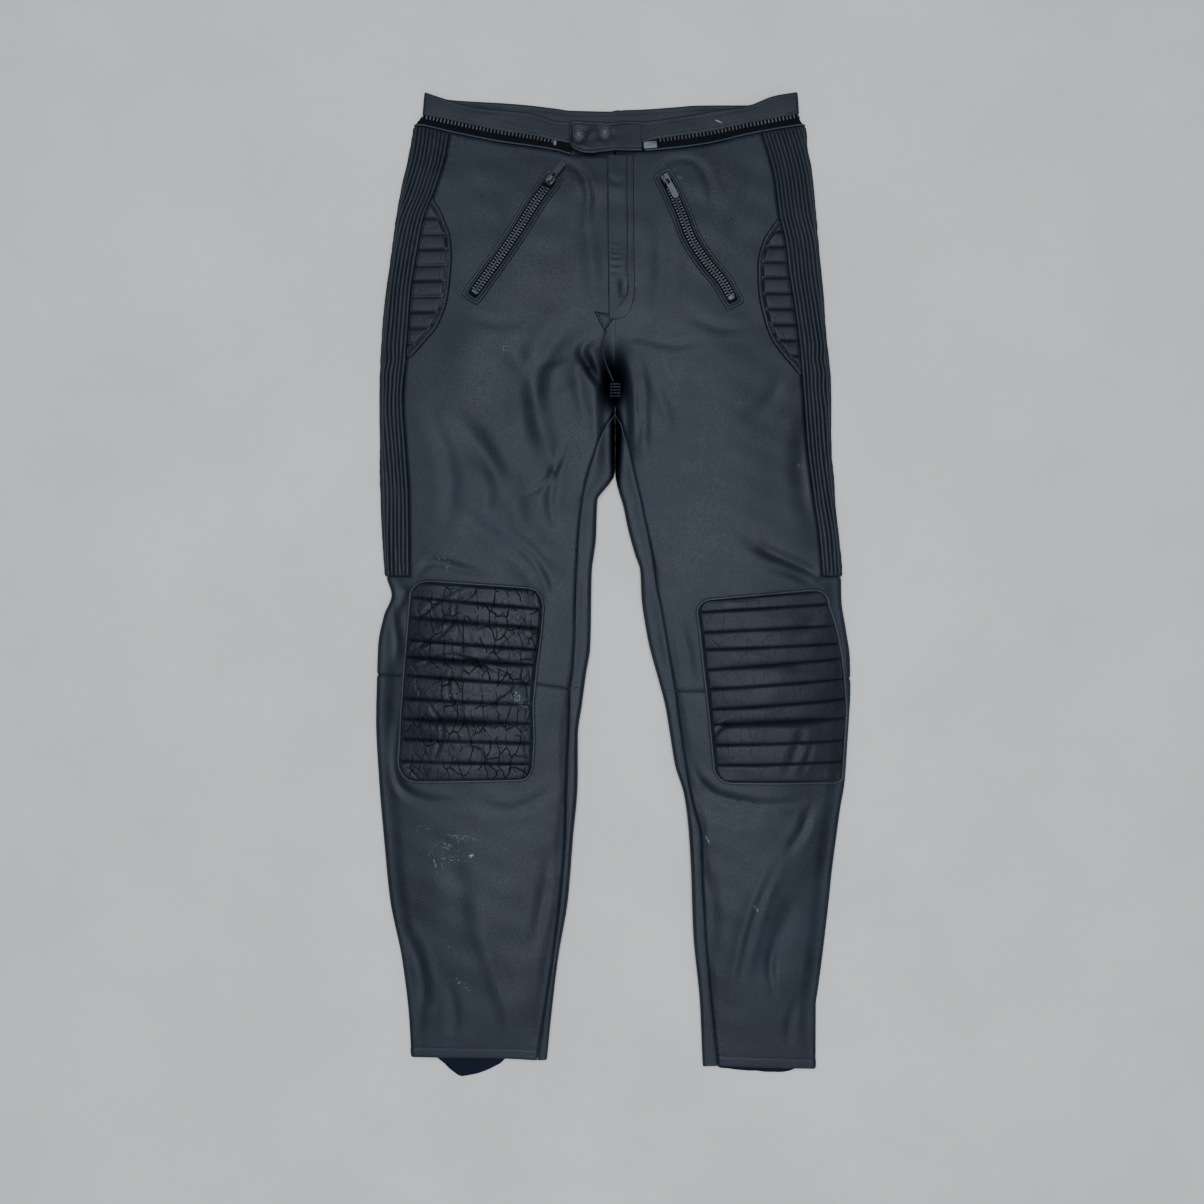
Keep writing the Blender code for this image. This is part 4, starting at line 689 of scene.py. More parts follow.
def grain_group():
    """Pebbled cowhide: small cells, finer pores and soft creasing between them."""
    tree, given, out = new_group(
        "hide grain",
        [("Cell Scale", "NodeSocketFloat", 620.0), ("Pore Scale", "NodeSocketFloat", 1700.0)],
        [("Height", "NodeSocketFloat"), ("Valley", "NodeSocketFloat")],
    )
    place = object_place(tree)
    bend = put(tree, "ShaderNodeTexNoise", Vector=place, Scale=260.0, Detail=2.0)
    moved = put(tree, "ShaderNodeVectorMath", {"operation": "MULTIPLY_ADD"},
                at0=bend.outputs["Color"], at1=(0.0011, 0.0011, 0.0011), at2=place)
    cells = put(tree, "ShaderNodeTexVoronoi", {"feature": "DISTANCE_TO_EDGE"},
                Vector=moved.outputs[0], Scale=given.outputs["Cell Scale"])
    valley = spread(tree, cells.outputs["Distance"], 0.0, 0.22)
    pores = noise_at(tree, place, given.outputs["Pore Scale"], 2.0, 0.5)
    height = sums(tree, "ADD", times(tree, valley, 0.7), times(tree, pores, 0.3))
    feed(tree, out, Height=height, Valley=valley)
    return tree


DUST_COLOUR = (0.11, 0.12, 0.125)


def tone_group():
    """Slow changes of colour and gloss over a worn hide, with fine dusty specks."""
    tree, given, out = new_group(
        "hide tone",
        [("Dark", "NodeSocketColor", (0.01, 0.012, 0.016, 1)),
         ("Light", "NodeSocketColor", (0.03, 0.034, 0.04, 1)),
         ("Dust", "NodeSocketFloat", 0.3)],
        [("Color", "NodeSocketColor"), ("Gloss", "NodeSocketFloat")],
    )
    place = object_place(tree)
    broad = noise_at(tree, place, 7.0, 4.0, 0.6)
    cloudy = noise_at(tree, place, 34.0, 4.0, 0.62)
    both = sums(tree, "ADD", times(tree, broad, 0.6), times(tree, cloudy, 0.4))
    share = spread(tree, both, 0.36, 0.66)
    colour = blend(tree, share, given.outputs["Dark"], given.outputs["Light"])
    specks = spread(tree, noise_at(tree, place, 900.0, 2.0, 0.7), 0.7, 0.8)
    patches = spread(tree, noise_at(tree, place, 22.0, 3.0, 0.6), 0.52, 0.7)
    dust = times(tree, times(tree, specks, patches), given.outputs["Dust"])
    feed(tree, out, Color=blend(tree, dust, colour, DUST_COLOUR), Gloss=share)
    return tree


def oval_group(name):
    """Starts a group for one turned oval: its nodes, its parts and the square of how far out."""
    tree, given, out = new_group(
        name,
        [("Centre", "NodeSocketVector", (0, 0, 0)), ("Turn", "NodeSocketFloat", 0.0),
         ("Long", "NodeSocketFloat", 0.03), ("Wide", "NodeSocketFloat", 0.01),
         ("Amount", "NodeSocketFloat", 0.5)],
        [("Mask", "NodeSocketFloat")],
    )
    moved = put(tree, "ShaderNodeVectorMath", {"operation": "SUBTRACT"},
                at0=object_place(tree), at1=given.outputs["Centre"])
    turned = put(tree, "ShaderNodeVectorRotate", {"rotation_type": "Z_AXIS"},
                 Vector=moved.outputs[0], Angle=given.outputs["Turn"])
    parts = put(tree, "ShaderNodeSeparateXYZ", Vector=turned.outputs[0])
    a = sums(tree, "DIVIDE", parts.outputs["X"], given.outputs["Long"])
    b = sums(tree, "DIVIDE", parts.outputs["Y"], given.outputs["Wide"])
    square = sums(tree, "ADD", times(tree, a, a), times(tree, b, b))
    return tree, given, out, parts, square


def scuff_group():
    """A patch of broken scratches round one place, stretched and turned as asked."""
    tree, given, out, parts, square = oval_group("scuff patch")
    inside = spread(tree, sums(tree, "SQRT", square, 0.0), 1.0, 0.35)
    flat = put(tree, "ShaderNodeCombineXYZ",
               X=times(tree, parts.outputs["X"], 260.0),
               Y=times(tree, parts.outputs["Y"], 1500.0),
               Z=times(tree, given.outputs["Long"], 900.0))
    streaks = put(tree, "ShaderNodeTexNoise", Vector=flat.outputs[0], Scale=1.0, Detail=3.0,
                  Distortion=1.2)
    level = sums(tree, "SUBTRACT", 0.82, times(tree, given.outputs["Amount"], 0.3))
    made = sums(tree, "GREATER_THAN", streaks.outputs["Fac"], level)
    soft = spread(tree, sums(tree, "SUBTRACT", streaks.outputs["Fac"], level), -0.05, 0.05)
    mask = times(tree, times(tree, soft, 0.8), inside)
    mask = sums(tree, "ADD", mask, times(tree, times(tree, made, 0.2), inside),
                clamp=True)
    feed(tree, out, Mask=mask)
    return tree


def painted_shade_group():
    """A soft oval round one place: painted shade, standing in for the black shadow deep in a
    hollow.
    """
    tree, given, out, _, square = oval_group("painted shade oval")
    inside = spread(tree, square, 1.1, 0.0)
    feed(tree, out, Mask=times(tree, inside, given.outputs["Amount"]))
    return tree


def crease_group():
    """Network of cracks and creases in stiff leather, fading in and out in patches."""
    tree, given, out = new_group(
        "crease network",
        [("Cell Scale", "NodeSocketFloat", 70.0), ("Width", "NodeSocketFloat", 0.05)],
        [("Line", "NodeSocketFloat")],
    )
    place = object_place(tree)
    bend = put(tree, "ShaderNodeTexNoise", Vector=place, Scale=55.0, Detail=3.0)
    moved = put(tree, "ShaderNodeVectorMath", {"operation": "MULTIPLY_ADD"},
                at0=bend.outputs["Color"], at1=(0.012, 0.016, 0.0), at2=place)
    tall = put(tree, "ShaderNodeVectorMath", {"operation": "MULTIPLY"},
               at0=moved.outputs[0], at1=(1.25, 0.62, 1.0))
    lines = None
    for grow, strong, low in ((1.0, 1.0, 0.38), (2.3, 0.55, 0.5)):
        scale = times(tree, given.outputs["Cell Scale"], grow)
        cells = put(tree, "ShaderNodeTexVoronoi",
                    {"feature": "DISTANCE_TO_EDGE", "voronoi_dimensions": "2D"},
                    Vector=tall.outputs[0], Scale=scale)
        thin = put(tree, "ShaderNodeMapRange", {"interpolation_type": "SMOOTHSTEP"},
                   Value=cells.outputs["Distance"], From_Min=0.0,
                   From_Max=given.outputs["Width"], To_Min=1.0, To_Max=0.0)
        fade = spread(tree, noise_at(tree, place, 60.0 * grow, 2.0, 0.5), low, low + 0.2)
        line = times(tree, times(tree, thin.outputs["Result"], fade), strong)
        lines = line if lines is None else sums(tree, "MAXIMUM", lines, line)
    feed(tree, out, Line=lines)
    return tree


GRAIN = grain_group()
CREASED = crease_group()
TONE = tone_group()
SCUFF = scuff_group()
PAINTED_SHADE = painted_shade_group()
SCUFF_COLOUR = (0.42, 0.44, 0.45)
# Painted shade: near-black for the shadowed crotch hollow
PAINTED_SHADE_COLOUR = (0.0006, 0.0007, 0.0010)


def group_node(tree, group, **inputs):
    return put(tree, "ShaderNodeGroup", {"node_tree": group}, **inputs)


def blank(name, colour, rough, metallic=0.0):
    """A material whose Principled shader has plain values to start from."""
    material = bpy.data.materials.new(name)
    material.use_nodes = True
    tree = material.node_tree
    shader = tree.nodes["Principled BSDF"]
    feed(tree, shader, Base_Color=(*colour, 1.0), Roughness=rough, Metallic=metallic)
    return material, tree, shader


def ovals(tree, group, rows):
    """The strongest of several turned oval patches at each place."""
    total = None
    for x, drop, turn, long, wide, amount in rows:
        patch = group_node(
            tree, group, Centre=(x * MM, (TOP_Y - drop) * MM, 0.0), Turn=math.radians(turn),
            Long=long * MM, Wide=wide * MM, Amount=amount,
        )
        mask = patch.outputs["Mask"]
        total = mask if total is None else sums(tree, "MAXIMUM", total, mask)
    return total


def leather(name, dark, light, rough=(0.38, 0.48), dust=0.3, scuffs=(), grain=0.00022, cell=620.0,
            creased=0.0, crease_cell=70.0, painted_shades=()):
    """Blue-black cowhide: grain, cloudy tone, changing gloss, its own scuffs and painted shade.

    A scuff or a painted shade is x, drop, turn in degrees, half length and half width
    in millimetres, and its amount.
    """
    material, tree, shader = blank(name, dark, rough[0])
    feed(tree, shader, Specular_IOR_Level=SATIN)
    hide = group_node(tree, GRAIN, Cell_Scale=cell)
    tone = group_node(tree, TONE, Dark=(*dark, 1.0), Light=(*light, 1.0), Dust=dust)
    colour = tone.outputs["Color"]
    colour = blend(tree, spread(tree, hide.outputs["Valley"], 0.0, 1.0, 0.3, 0.0), colour,
                   (0.004, 0.005, 0.007))
    if creased:
        lines = group_node(tree, CREASED, Cell_Scale=crease_cell).outputs["Line"]
        colour = blend(tree, times(tree, lines, min(0.7, creased)), colour, (0.0015, 0.002, 0.003))
    if scuffs:
        colour = blend(tree, ovals(tree, SCUFF, scuffs), colour, SCUFF_COLOUR)
    # Painted shade: the ovals darken the colour to near-black and take the gloss away, as the
    # hollow's shadow would
    if painted_shades:
        deep = ovals(tree, PAINTED_SHADE, painted_shades)
        colour = blend(tree, deep, colour, PAINTED_SHADE_COLOUR)
        feed(tree, shader, Specular_IOR_Level=spread(tree, deep, 0.0, 1.0, SATIN, 0.0))
    gloss = spread(tree, tone.outputs["Gloss"], 0.0, 1.0, rough[0], rough[1])
    feed(tree, shader, Base_Color=colour, Roughness=gloss)
    bump = put(tree, "ShaderNodeBump", Strength=0.55, Distance=grain, Height=hide.outputs["Height"])
    if creased:
        sunk = put(tree, "ShaderNodeBump", Strength=creased, Distance=0.0011,
                   Height=sums(tree, "SUBTRACT", 1.0, lines))
        feed(tree, bump, Normal=sunk.outputs["Normal"])
    feed(tree, shader, Normal=bump.outputs["Normal"])
    return material


SATIN = 0.26
DARK_HIDE = (0.0070, 0.0100, 0.0165)
LIGHT_HIDE = (0.0135, 0.0182, 0.0275)
DEEP_HIDE = (0.0055, 0.0078, 0.0120)

# Front leather, with painted shade ovals in the crotch hollow
LEATHER_FRONT = leather("front cowhide", DARK_HIDE, LIGHT_HIDE, scuffs=[
    (-112, 271, 70, 9, 5, 0.55), (-109, 312, 60, 8, 5, 0.45), (-174, 496, 40, 16, 7, 0.45),
    (-166, 484, 120, 12, 3, 0.5), (194, 393, 20, 4, 2.5, 0.6), (52, 79, 60, 3, 3, 0.7),
    (71, 92, 10, 5, 3, 0.6),
], painted_shades=[
    (0, 308, 90, 42, 21, 1.0), (3, 360, 90, 60, 11, 0.9), (-23, 293, 54, 28, 13, 0.55),
])
LEATHER_SHIN = leather("shin cowhide", DARK_HIDE, LIGHT_HIDE, scuffs=[
    (-172, 796, 15, 34, 20, 0.42), (-148, 799, -30, 4, 2.2, 0.9), (-186, 806, 76, 17, 0.7, 0.72),
    (-178, 812, 88, 15, 0.7, 0.68), (-166, 786, -24, 26, 1.2, 0.62),
    (-158, 780, 10, 22, 3, 0.62), (-158, 934, 30, 18, 5, 0.5), (-196, 770, -20, 16, 6, 0.4),
    (83, 773, 80, 6, 1.6, 0.9), (98, 783, 60, 6, 1.6, 0.8), (148, 854, 50, 6, 2, 0.7),
    (-176, 894, 45, 22, 7, 0.35),
])
# Underside leather, with painted shade down the hollow between the legs
LEATHER_BACK = leather("back cowhide", DARK_HIDE, LIGHT_HIDE, dust=0.4, scuffs=[
    (-120, 220, 30, 40, 24, 0.35), (126, 240, -20, 40, 22, 0.35), (-140, 620, 5, 40, 12, 0.4),
    (160, 626, -5, 40, 12, 0.4), (-140, 980, 0, 36, 10, 0.45), (150, 990, 0, 36, 10, 0.45),
], painted_shades=[(3, 362, 90, 80, 10, 1.0)])
LEATHER_BAND = leather("waistband cowhide", DEEP_HIDE, (0.0115, 0.0150, 0.0210), scuffs=[
    (110, 31, 25, 6, 0.9, 1.0), (140, 24, -10, 10, 0.8, 0.5),
], cell=760.0)
RIB_LEATHER = leather("ribbed cowhide", DEEP_HIDE, (0.0115, 0.0150, 0.0205), (0.4, 0.5), 0.15,
                      grain=0.00014, cell=900.0)
PAD_LEATHERS = {
    "right": leather("creased knee cowhide", DEEP_HIDE, (0.0150, 0.0195, 0.0270), (0.36, 0.5), 0.6,
                     creased=1.0,
                     scuffs=[(-100, 634, 60, 9, 6, 0.7), (-92, 640, 30, 7, 6, 0.7),
                             (-120, 560, 20, 16, 10, 0.35), (-168, 640, 70, 18, 10, 0.3)]),
    "left": leather("knee cowhide", DEEP_HIDE, (0.0095, 0.0125, 0.0175), (0.36, 0.48), 0.2,
                    creased=0.22, crease_cell=55.0),
}
# Welt leather: the front's hide in a lighter tone, a painted highlight on the raised welts
LIT_WELT_LEATHER = leather("welt cowhide with painted highlight", (0.011, 0.015, 0.022), (0.026, 0.032, 0.042), (0.34, 0.44),
                       cell=760.0)
# Gathered leather: the hide in a lighter tone and free of the painted shade, a painted highlight on
# the puckers and the seam's edge
LIT_GATHER_LEATHER = leather("gathered cowhide with painted highlight", DARK_HIDE, (0.030, 0.036, 0.046), cell=760.0)
# Piping leather: the hide in a lighter tone, a painted highlight on the round beads
LIT_PIPING = leather("piping cowhide with painted highlight", (0.016, 0.020, 0.027), (0.034, 0.040, 0.048), (0.3, 0.42), 0.2,
                 grain=0.0001, cell=1000.0)


def thread_finish():
    """Twisted black sewing thread."""
    material, tree, shader = blank("sewing thread", (0.003, 0.0036, 0.005), 0.75)
    feed(tree, shader, Specular_IOR_Level=0.2)
    wave = put(tree, "ShaderNodeTexWave", {"bands_direction": "DIAGONAL"},
               Vector=object_place(tree), Scale=1500.0, Distortion=1.0)
    colour = blend(tree, wave.outputs["Fac"], (0.0015, 0.002, 0.003), (0.006, 0.007, 0.009))
    normal = bumped(tree, 0.6, 0.0001, wave.outputs["Fac"])
    feed(tree, shader, Base_Color=colour, Normal=normal)
    return material


def woven(name, dark, light, scale, rough):
    """Close woven cloth: two crossing sets of threads with a slow change of tone."""
    material, tree, shader = blank(name, dark, rough)
    place = object_place(tree)
    warp = put(tree, "ShaderNodeTexWave", {"bands_direction": "X"}, Vector=place, Scale=scale)
    weft = put(tree, "ShaderNodeTexWave", {"bands_direction": "Y"}, Vector=place, Scale=scale)
    cloth = times(tree, warp.outputs["Fac"], weft.outputs["Fac"])
    slow = noise_at(tree, place, 90.0, 3.0)
    share = times(tree, sums(tree, "ADD", cloth, slow), 0.5)
    colour = blend(tree, share, dark, light)
    feed(tree, shader, Base_Color=colour, Normal=bumped(tree, 0.5, 0.00015, cloth),
         Specular_IOR_Level=0.15)
    return material


def worn_enamel(name, enamel, metal, rough, worn):
    """Dark enamel over metal, rubbed away in small patches."""
    material, tree, shader = blank(name, enamel, rough, 0.6)
    place = object_place(tree)
    rubbed = spread(tree, noise_at(tree, place, 900.0, 4.0, 0.65), 0.62 - worn, 0.72 - worn)
    feed(tree, shader, Base_Color=blend(tree, rubbed, enamel, metal),
         Roughness=spread(tree, rubbed, 0.0, 1.0, rough, 0.28),
         Metallic=spread(tree, rubbed, 0.0, 1.0, 0.25, 1.0),
         Normal=bumped(tree, 0.4, 0.0001, noise_at(tree, place, 1500.0, 3.0)))
    return material


def moulded(name, colour, light, rough):
    """Moulded plastic with a faint cloud of handling marks."""
    material, tree, shader = blank(name, colour, rough)
    place = object_place(tree)
    marks = spread(tree, noise_at(tree, place, 300.0, 4.0, 0.7), 0.45, 0.7)
    feed(tree, shader, Base_Color=blend(tree, marks, colour, light),
         Roughness=spread(tree, marks, 0.0, 1.0, rough, rough + 0.15),
         Normal=bumped(tree, 0.3, 0.00008, marks))
    return material


THREAD = thread_finish()
TAPE = woven("zip tape weave", (0.0015, 0.0022, 0.0036), (0.0035, 0.0050, 0.0080), 700.0, 0.95)
LINING_CLOTH = woven("navy lining", (0.0012, 0.0028, 0.0095), (0.0030, 0.0060, 0.0180), 900.0, 0.7)
TEETH = moulded("zip teeth", (0.014, 0.016, 0.019), (0.038, 0.041, 0.047), 0.32)
# Heads of the pocket zip teeth: a lighter copy of the teeth plastic, a painted highlight on their
# tops
LIT_CHAIN_TOPS = moulded("zip teeth tops with painted highlight", (0.034, 0.037, 0.042), (0.085, 0.09, 0.096), 0.34)
BOX_PLASTIC = moulded("zip box", (0.06, 0.065, 0.07), (0.13, 0.135, 0.14), 0.45)
SLIDER_METAL = worn_enamel("slider enamel", (0.016, 0.017, 0.019), (0.13, 0.13, 0.14), 0.35, 0.01)
SNAP_METAL = worn_enamel("stud enamel", (0.017, 0.019, 0.022), (0.075, 0.078, 0.083), 0.38, 0.01)


# Meshes

def add_object(name, vertices, faces, material, sharp=40.0):
    """One mesh object from points in millimetres."""
    data = bpy.data.meshes.new(name)
    data.from_pydata((np.asarray(vertices) * MM).tolist(), [], faces)
    data.validate()
    data.shade_smooth()
    data.set_sharp_from_angle(angle=math.radians(sharp))
    data.materials.append(material)
    made = bpy.data.objects.new(name, data)
    bpy.context.collection.objects.link(made)
    return made


def wall(name, outer, inner, material, present=None, sharp=40.0):
    """Closed sheet between an outer and an inner grid, where present says which cells exist."""
    rows, columns = outer.shape[:2]
    if present is None:
        present = np.ones((rows - 1, columns - 1), bool)
    index = np.arange(rows * columns).reshape(rows, columns)
    back = index + rows * columns
    faces = []
    for r, c in zip(*np.nonzero(present)):
        a, b = index[r, c], index[r, c + 1]
        d, e = index[r + 1, c + 1], index[r + 1, c]
        faces.append((a, b, d, e))
        ia, ib, id_, ie = back[r, c], back[r, c + 1], back[r + 1, c + 1], back[r + 1, c]
        faces.append((ia, ie, id_, ib))
        if r == 0 or not present[r - 1, c]:
            faces.append((a, ia, ib, b))
        if r == rows - 2 or not present[r + 1, c]:
            faces.append((e, d, id_, ie))
        if c == 0 or not present[r, c - 1]:
            faces.append((a, e, ie, ia))
        if c == columns - 2 or not present[r, c + 1]:
            faces.append((b, ib, id_, d))
    points = np.concatenate([outer.reshape(-1, 3), inner.reshape(-1, 3)])
    used, faces = np.unique(np.array(faces), return_inverse=True)
    made = add_object(name, points[used], faces.reshape(-1, 4).tolist(), material, sharp)
    face_out(made)
    return made


def face_out(made):
    """Turn all faces of closed bodies outwards."""
    mesh = bmesh.new()
    mesh.from_mesh(made.data)
    bmesh.ops.recalc_face_normals(mesh, faces=mesh.faces)
    mesh.to_mesh(made.data)
    mesh.free()


def crowded(count, crowd=0.55):
    """Shares from 0 to 1 that lie closer together near both ends."""
    share = np.linspace(0.0, 1.0, count + 1)
    return share - crowd * np.sin(2 * np.pi * share) / (2 * np.pi)


def layer(name, x, drop, base, rise, material, sharp=40.0):
    """Closed sheet that lies at a base height and is as thick as its rise."""
    return wall(name, points_at(x, drop, base + rise), points_at(x, drop, base), material,
                sharp=sharp)


def ring_faces(rings, sides, closed=False):
    """Faces between rings of points, each ring with the same number of sides."""
    faces = []
    for ring in range(rings if closed else rings - 1):
        after = (ring + 1) % rings
        for step in range(sides):
            turn = (step + 1) % sides
            faces.append((ring * sides + step, ring * sides + turn,
                          after * sides + turn, after * sides + step))
    return faces


def tube(line, thick, sides=8, closed=False):
    """Points and faces of a round bead along a line of points."""
    line = np.asarray(line, float)
    count = len(line)
    if closed:
        ahead, behind = np.roll(line, -1, axis=0), np.roll(line, 1, axis=0)
    else:
        ahead = np.vstack([line[1:], 2 * line[-1] - line[-2]])
        behind = np.vstack([2 * line[0] - line[1], line[:-1]])
    along = ahead - behind
    along /= np.linalg.norm(along, axis=1, keepdims=True)
    side_way = np.cross(along, [0.0, 0.0, 1.0])
    side_way /= np.maximum(np.linalg.norm(side_way, axis=1, keepdims=True), 1e-9)
    up = np.cross(side_way, along)
    thick = np.broadcast_to(np.asarray(thick, float), (count,))[:, None]
    points = []
    for step in range(sides):
        angle = 2 * np.pi * step / sides
        points.append(line + thick * (side_way * math.cos(angle) + up * math.sin(angle)))
    points = np.stack(points, axis=1).reshape(-1, 3)
    faces = ring_faces(count, sides, closed)
    if not closed:
        faces.append(tuple(range(sides)))
        faces.append(tuple(range((count - 1) * sides, count * sides))[::-1])
    return points, faces


def joined(name, parts, material, sharp=40.0):
    """One object from several lists of points and faces."""
    points, faces, start = [], [], 0
    for some_points, some_faces in parts:
        points.append(some_points)
        faces += [tuple(int(corner) + start for corner in face) for face in some_faces]
        start += len(some_points)
    made = add_object(name, np.concatenate(points), faces, material, sharp)
    face_out(made)
    return made


def measured(line, step):
    """Points spaced evenly along a line."""
    line = np.asarray(line, float)
    runs = np.linalg.norm(np.diff(line[:, :3], axis=0), axis=1)
    lengths = np.concatenate([[0.0], np.cumsum(runs)])
    count = max(2, int(round(lengths[-1] / step)) + 1)
    at = np.linspace(0.0, lengths[-1], count)
    return np.stack([np.interp(at, lengths, line[:, k]) for k in range(line.shape[1])], axis=1)


STITCH_PITCH = 3.3
STITCH_LENGTH = 2.5
STITCH_WIDTH = 0.55
STITCH_SIDES = 6


def stitches(lines, width=STITCH_WIDTH):
    """Rows of sewing: one small rounded bar of thread for each stitch on each line."""
    shares = ((-0.5, 0.35), (-0.3, 0.95), (0.3, 0.95), (0.5, 0.35))
    parts = []
    for line in lines:
        spots = measured(line, STITCH_PITCH)
        for first, second in zip(spots, spots[1:]):
            middle, way = (first + second) / 2, (second - first)
            way = unit(way)
            bar = []
            for share, size in shares:
                sunk = -0.25 if abs(share) == 0.5 else 0.0
                centre = middle + way * share * STITCH_LENGTH
                bar.append((centre + [0.0, 0.0, sunk], size))
            line_points = np.array([point for point, _ in bar])
            thick = np.array([size for _, size in bar]) * width / 2
            parts.append(tube(line_points, thick, STITCH_SIDES))
    return parts


# Leather panels

SEAM_DIP = 1.15
SEAM_DIP_WIDTH = 1.5
PUCKER_LENGTH = 7.5
PUCKER_HEIGHT = 0.22
PUCKER_REACH = 7.0


def seam_sink(distance, along):
    """How far leather is drawn down beside a seam, with the small puckers of its sewing."""
    dip = SEAM_DIP * bell(distance, SEAM_DIP_WIDTH)
    wave = np.sin(2 * np.pi * along / PUCKER_LENGTH + 1.7 * np.sin(along / 23.0))
    swell = PUCKER_HEIGHT * wave * np.exp(-distance / PUCKER_REACH) * np.sin(along / 57.0) ** 2
    return dip - swell


def raise_grid(side, places, drops, raised, thick=LEATHER):
    """Outer and inner grids of a leather panel."""
    points = ring_point(side, places, drops)
    normals = ring_normal(side, places, drops)
    lift = np.minimum(raised, np.where(normals[..., 2] < -0.5, points[..., 2], 1e9))
    outer = points + normals * lift[..., None]
    inner = points - normals * thick
    outer[..., 2] = np.maximum(outer[..., 2], 0.0)
    return outer, np.maximum(inner, [-1e9, -1e9, 0.0])


def hold_edge(side, grids, drops, column, reach=6):
    """Keep the edge of a panel on the middle seam, above where the legs part."""
    order = range(reach) if column == 0 else range(-1, -1 - reach, -1)
    edge = side["sign"] * side["inner_edge"].read(drops[:, column], "across")
    hold = smooth(PARTED_DROP + 8.0, PARTED_DROP - 2.0, drops[:, column])
    for grid in grids:
        shift = (edge - grid[:, column, 0]) * hold
        for step, here in enumerate(order):
            grid[:, here, 0] += shift * (1.0 - step / reach)


def cut_of(places, drops, cells=None):
    """Flat width, length and area in metres of the leather that a panel was cut from."""
    widths = np.abs(np.diff(places, axis=1))
    widths = (widths[:-1] + widths[1:]) / 2
    heights = np.abs(np.diff(drops, axis=0))
    heights = (heights[:, :-1] + heights[:, 1:]) / 2
    cells = np.ones(widths.shape, bool) if cells is None else cells
    width = np.max(np.sum(widths * cells, axis=1))
    length = np.max(drops) - np.min(drops)
    area = np.sum(widths * heights * cells)
    return (float(width * MM), float(length * MM)), float(area * MM * MM)


def flat_cut(width, length, filled):
    """The cut of a small sheet from its flat size in metres and the share of it that is filled."""
    return (width, length), width * length * filled


def declare(piece, cut, node):
    """Every sheet of leather rides on the garment and stands for its own node."""
    flat, area = cut
    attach(piece, "garment")
    if node:
        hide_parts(node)
    area = min(max(area, 0.301 * flat[0] * flat[1]), flat[0] * flat[1])


def trim(piece, node=None):
    """A bead, thread or hard piece rides on the garment, and a node that it stands for is hidden.
    """
    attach(piece, "garment")
    if node:
        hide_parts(node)
    return piece


def fitting(name, parts, material, sharp=40.0, node=None):
    """A trim made of several small bodies, fixed to the garment."""
    return trim(joined(name, parts, material, sharp), node=node)


THIGH_ROWS = 150
KNEE_ROWS = 32
SHIN_ROWS = 150
MAIN_COLUMNS = 78
WRAP_COLUMNS = 20


def column_lines(side):
    """One function of drop for each column of the front and shin panels."""
    lines = []
    for share in np.linspace(0.0, 1.0, WRAP_COLUMNS + 1)[:-1]:
        lines.append(lambda drop, share=share: mix(
            under_place(side, drop) + SEAM, rib_place(side, drop) + SEAM, share))
    for share in crowded(MAIN_COLUMNS):
        lines.append(lambda drop, share=share: mix(
            rib_place(side, drop) + SEAM, inseam_place(side, drop) - SEAM, share))
    return lines


def places_on(lines, drops):
    """Places of a grid whose columns follow their own lines."""
    return np.stack([line(drops[:, column]) for column, line in enumerate(lines)], axis=1)


def thigh_front(side):
    lines = column_lines(side)
    tops = seam_drops(side, lines, "panel_top") + WAIST_SEAM
    knees = line_drops(side, lines, side["knee_seam"]) - SEAM
    tops[:WRAP_COLUMNS] = tops[WRAP_COLUMNS]
    rows = crowded(THIGH_ROWS, 0.35)[:, None]
    upper = mix(tops[None, :], RIB_END + SEAM, rows)
    rows = crowded(KNEE_ROWS, 0.3)[1:, None]
    lower = mix(RIB_END + SEAM, knees[None, :], rows)
    drops = np.vstack([upper, lower])
    places = places_on(lines, drops)
    present = np.ones((drops.shape[0] - 1, drops.shape[1] - 1), bool)
    present[:THIGH_ROWS, :WRAP_COLUMNS] = False
    below = drops > RIB_END
    from_side = places - np.where(below, under_place(side, drops), rib_place(side, drops))
    sink = seam_sink(np.maximum(from_side, 0.0), drops)
    middle = smooth(285.0, 310.0, drops)
    sink += seam_sink(inseam_place(side, drops) - places, drops) * middle
    sink += seam_sink(drops - tops, places) + seam_sink(knees - drops, places)
    on_ribs = smooth(4.0, 0.0, places - rib_place(side, drops)) * (drops > RIB_END)
    sink += seam_sink(drops - RIB_END, places) * on_ribs
    outer, inner = raise_grid(side, places, drops, -sink)
    hold_edge(side, (outer, inner), drops, -1)
    piece = wall(side["name"] + "_front_leather", outer, inner, LEATHER_FRONT, present)
    cut = cut_of(places, drops, present)
    declare(piece, cut, side["name"] + "_front_panel")


def shin_front(side):
    lines = column_lines(side)
    knees = line_drops(side, lines, side["knee_seam"]) + SEAM
    hems = line_drops(side, lines, side["hem"])
    drops = mix(knees[None, :], hems[None, :], crowded(SHIN_ROWS, 0.35)[:, None])
    places = places_on(lines, drops)
    sink = seam_sink(np.maximum(places - under_place(side, drops), 0.0), drops)
    sink += seam_sink(inseam_place(side, drops) - places, drops)
    sink += seam_sink(drops - knees, places)
    hem_line = hems - HEM_TURN - drops
    sink += HEM_GROOVE * bell(hem_line, 1.1)
    sink -= HEM_FOLD * smooth(0.6, -1.0, hem_line)
    sink += 0.8 * smooth(1.6, 0.0, hems - drops)
    outer, inner = raise_grid(side, places, drops, -sink)
    piece = wall(side["name"] + "_shin_leather", outer, inner, LEATHER_SHIN)
    cut = cut_of(places, drops)
    sewn = hems - HEM_TURN
    line = ring_point(side, np.array([run(drop) for run, drop in zip(lines, sewn)]), sewn)
    line = line[line[:, 2] > 2.0] + [0.0, 0.0, -0.15]
    fitting(side["name"] + "_hem_thread", stitches([line], width=0.8), THREAD)
    declare(piece, cut, side["name"] + "_shin_panel")


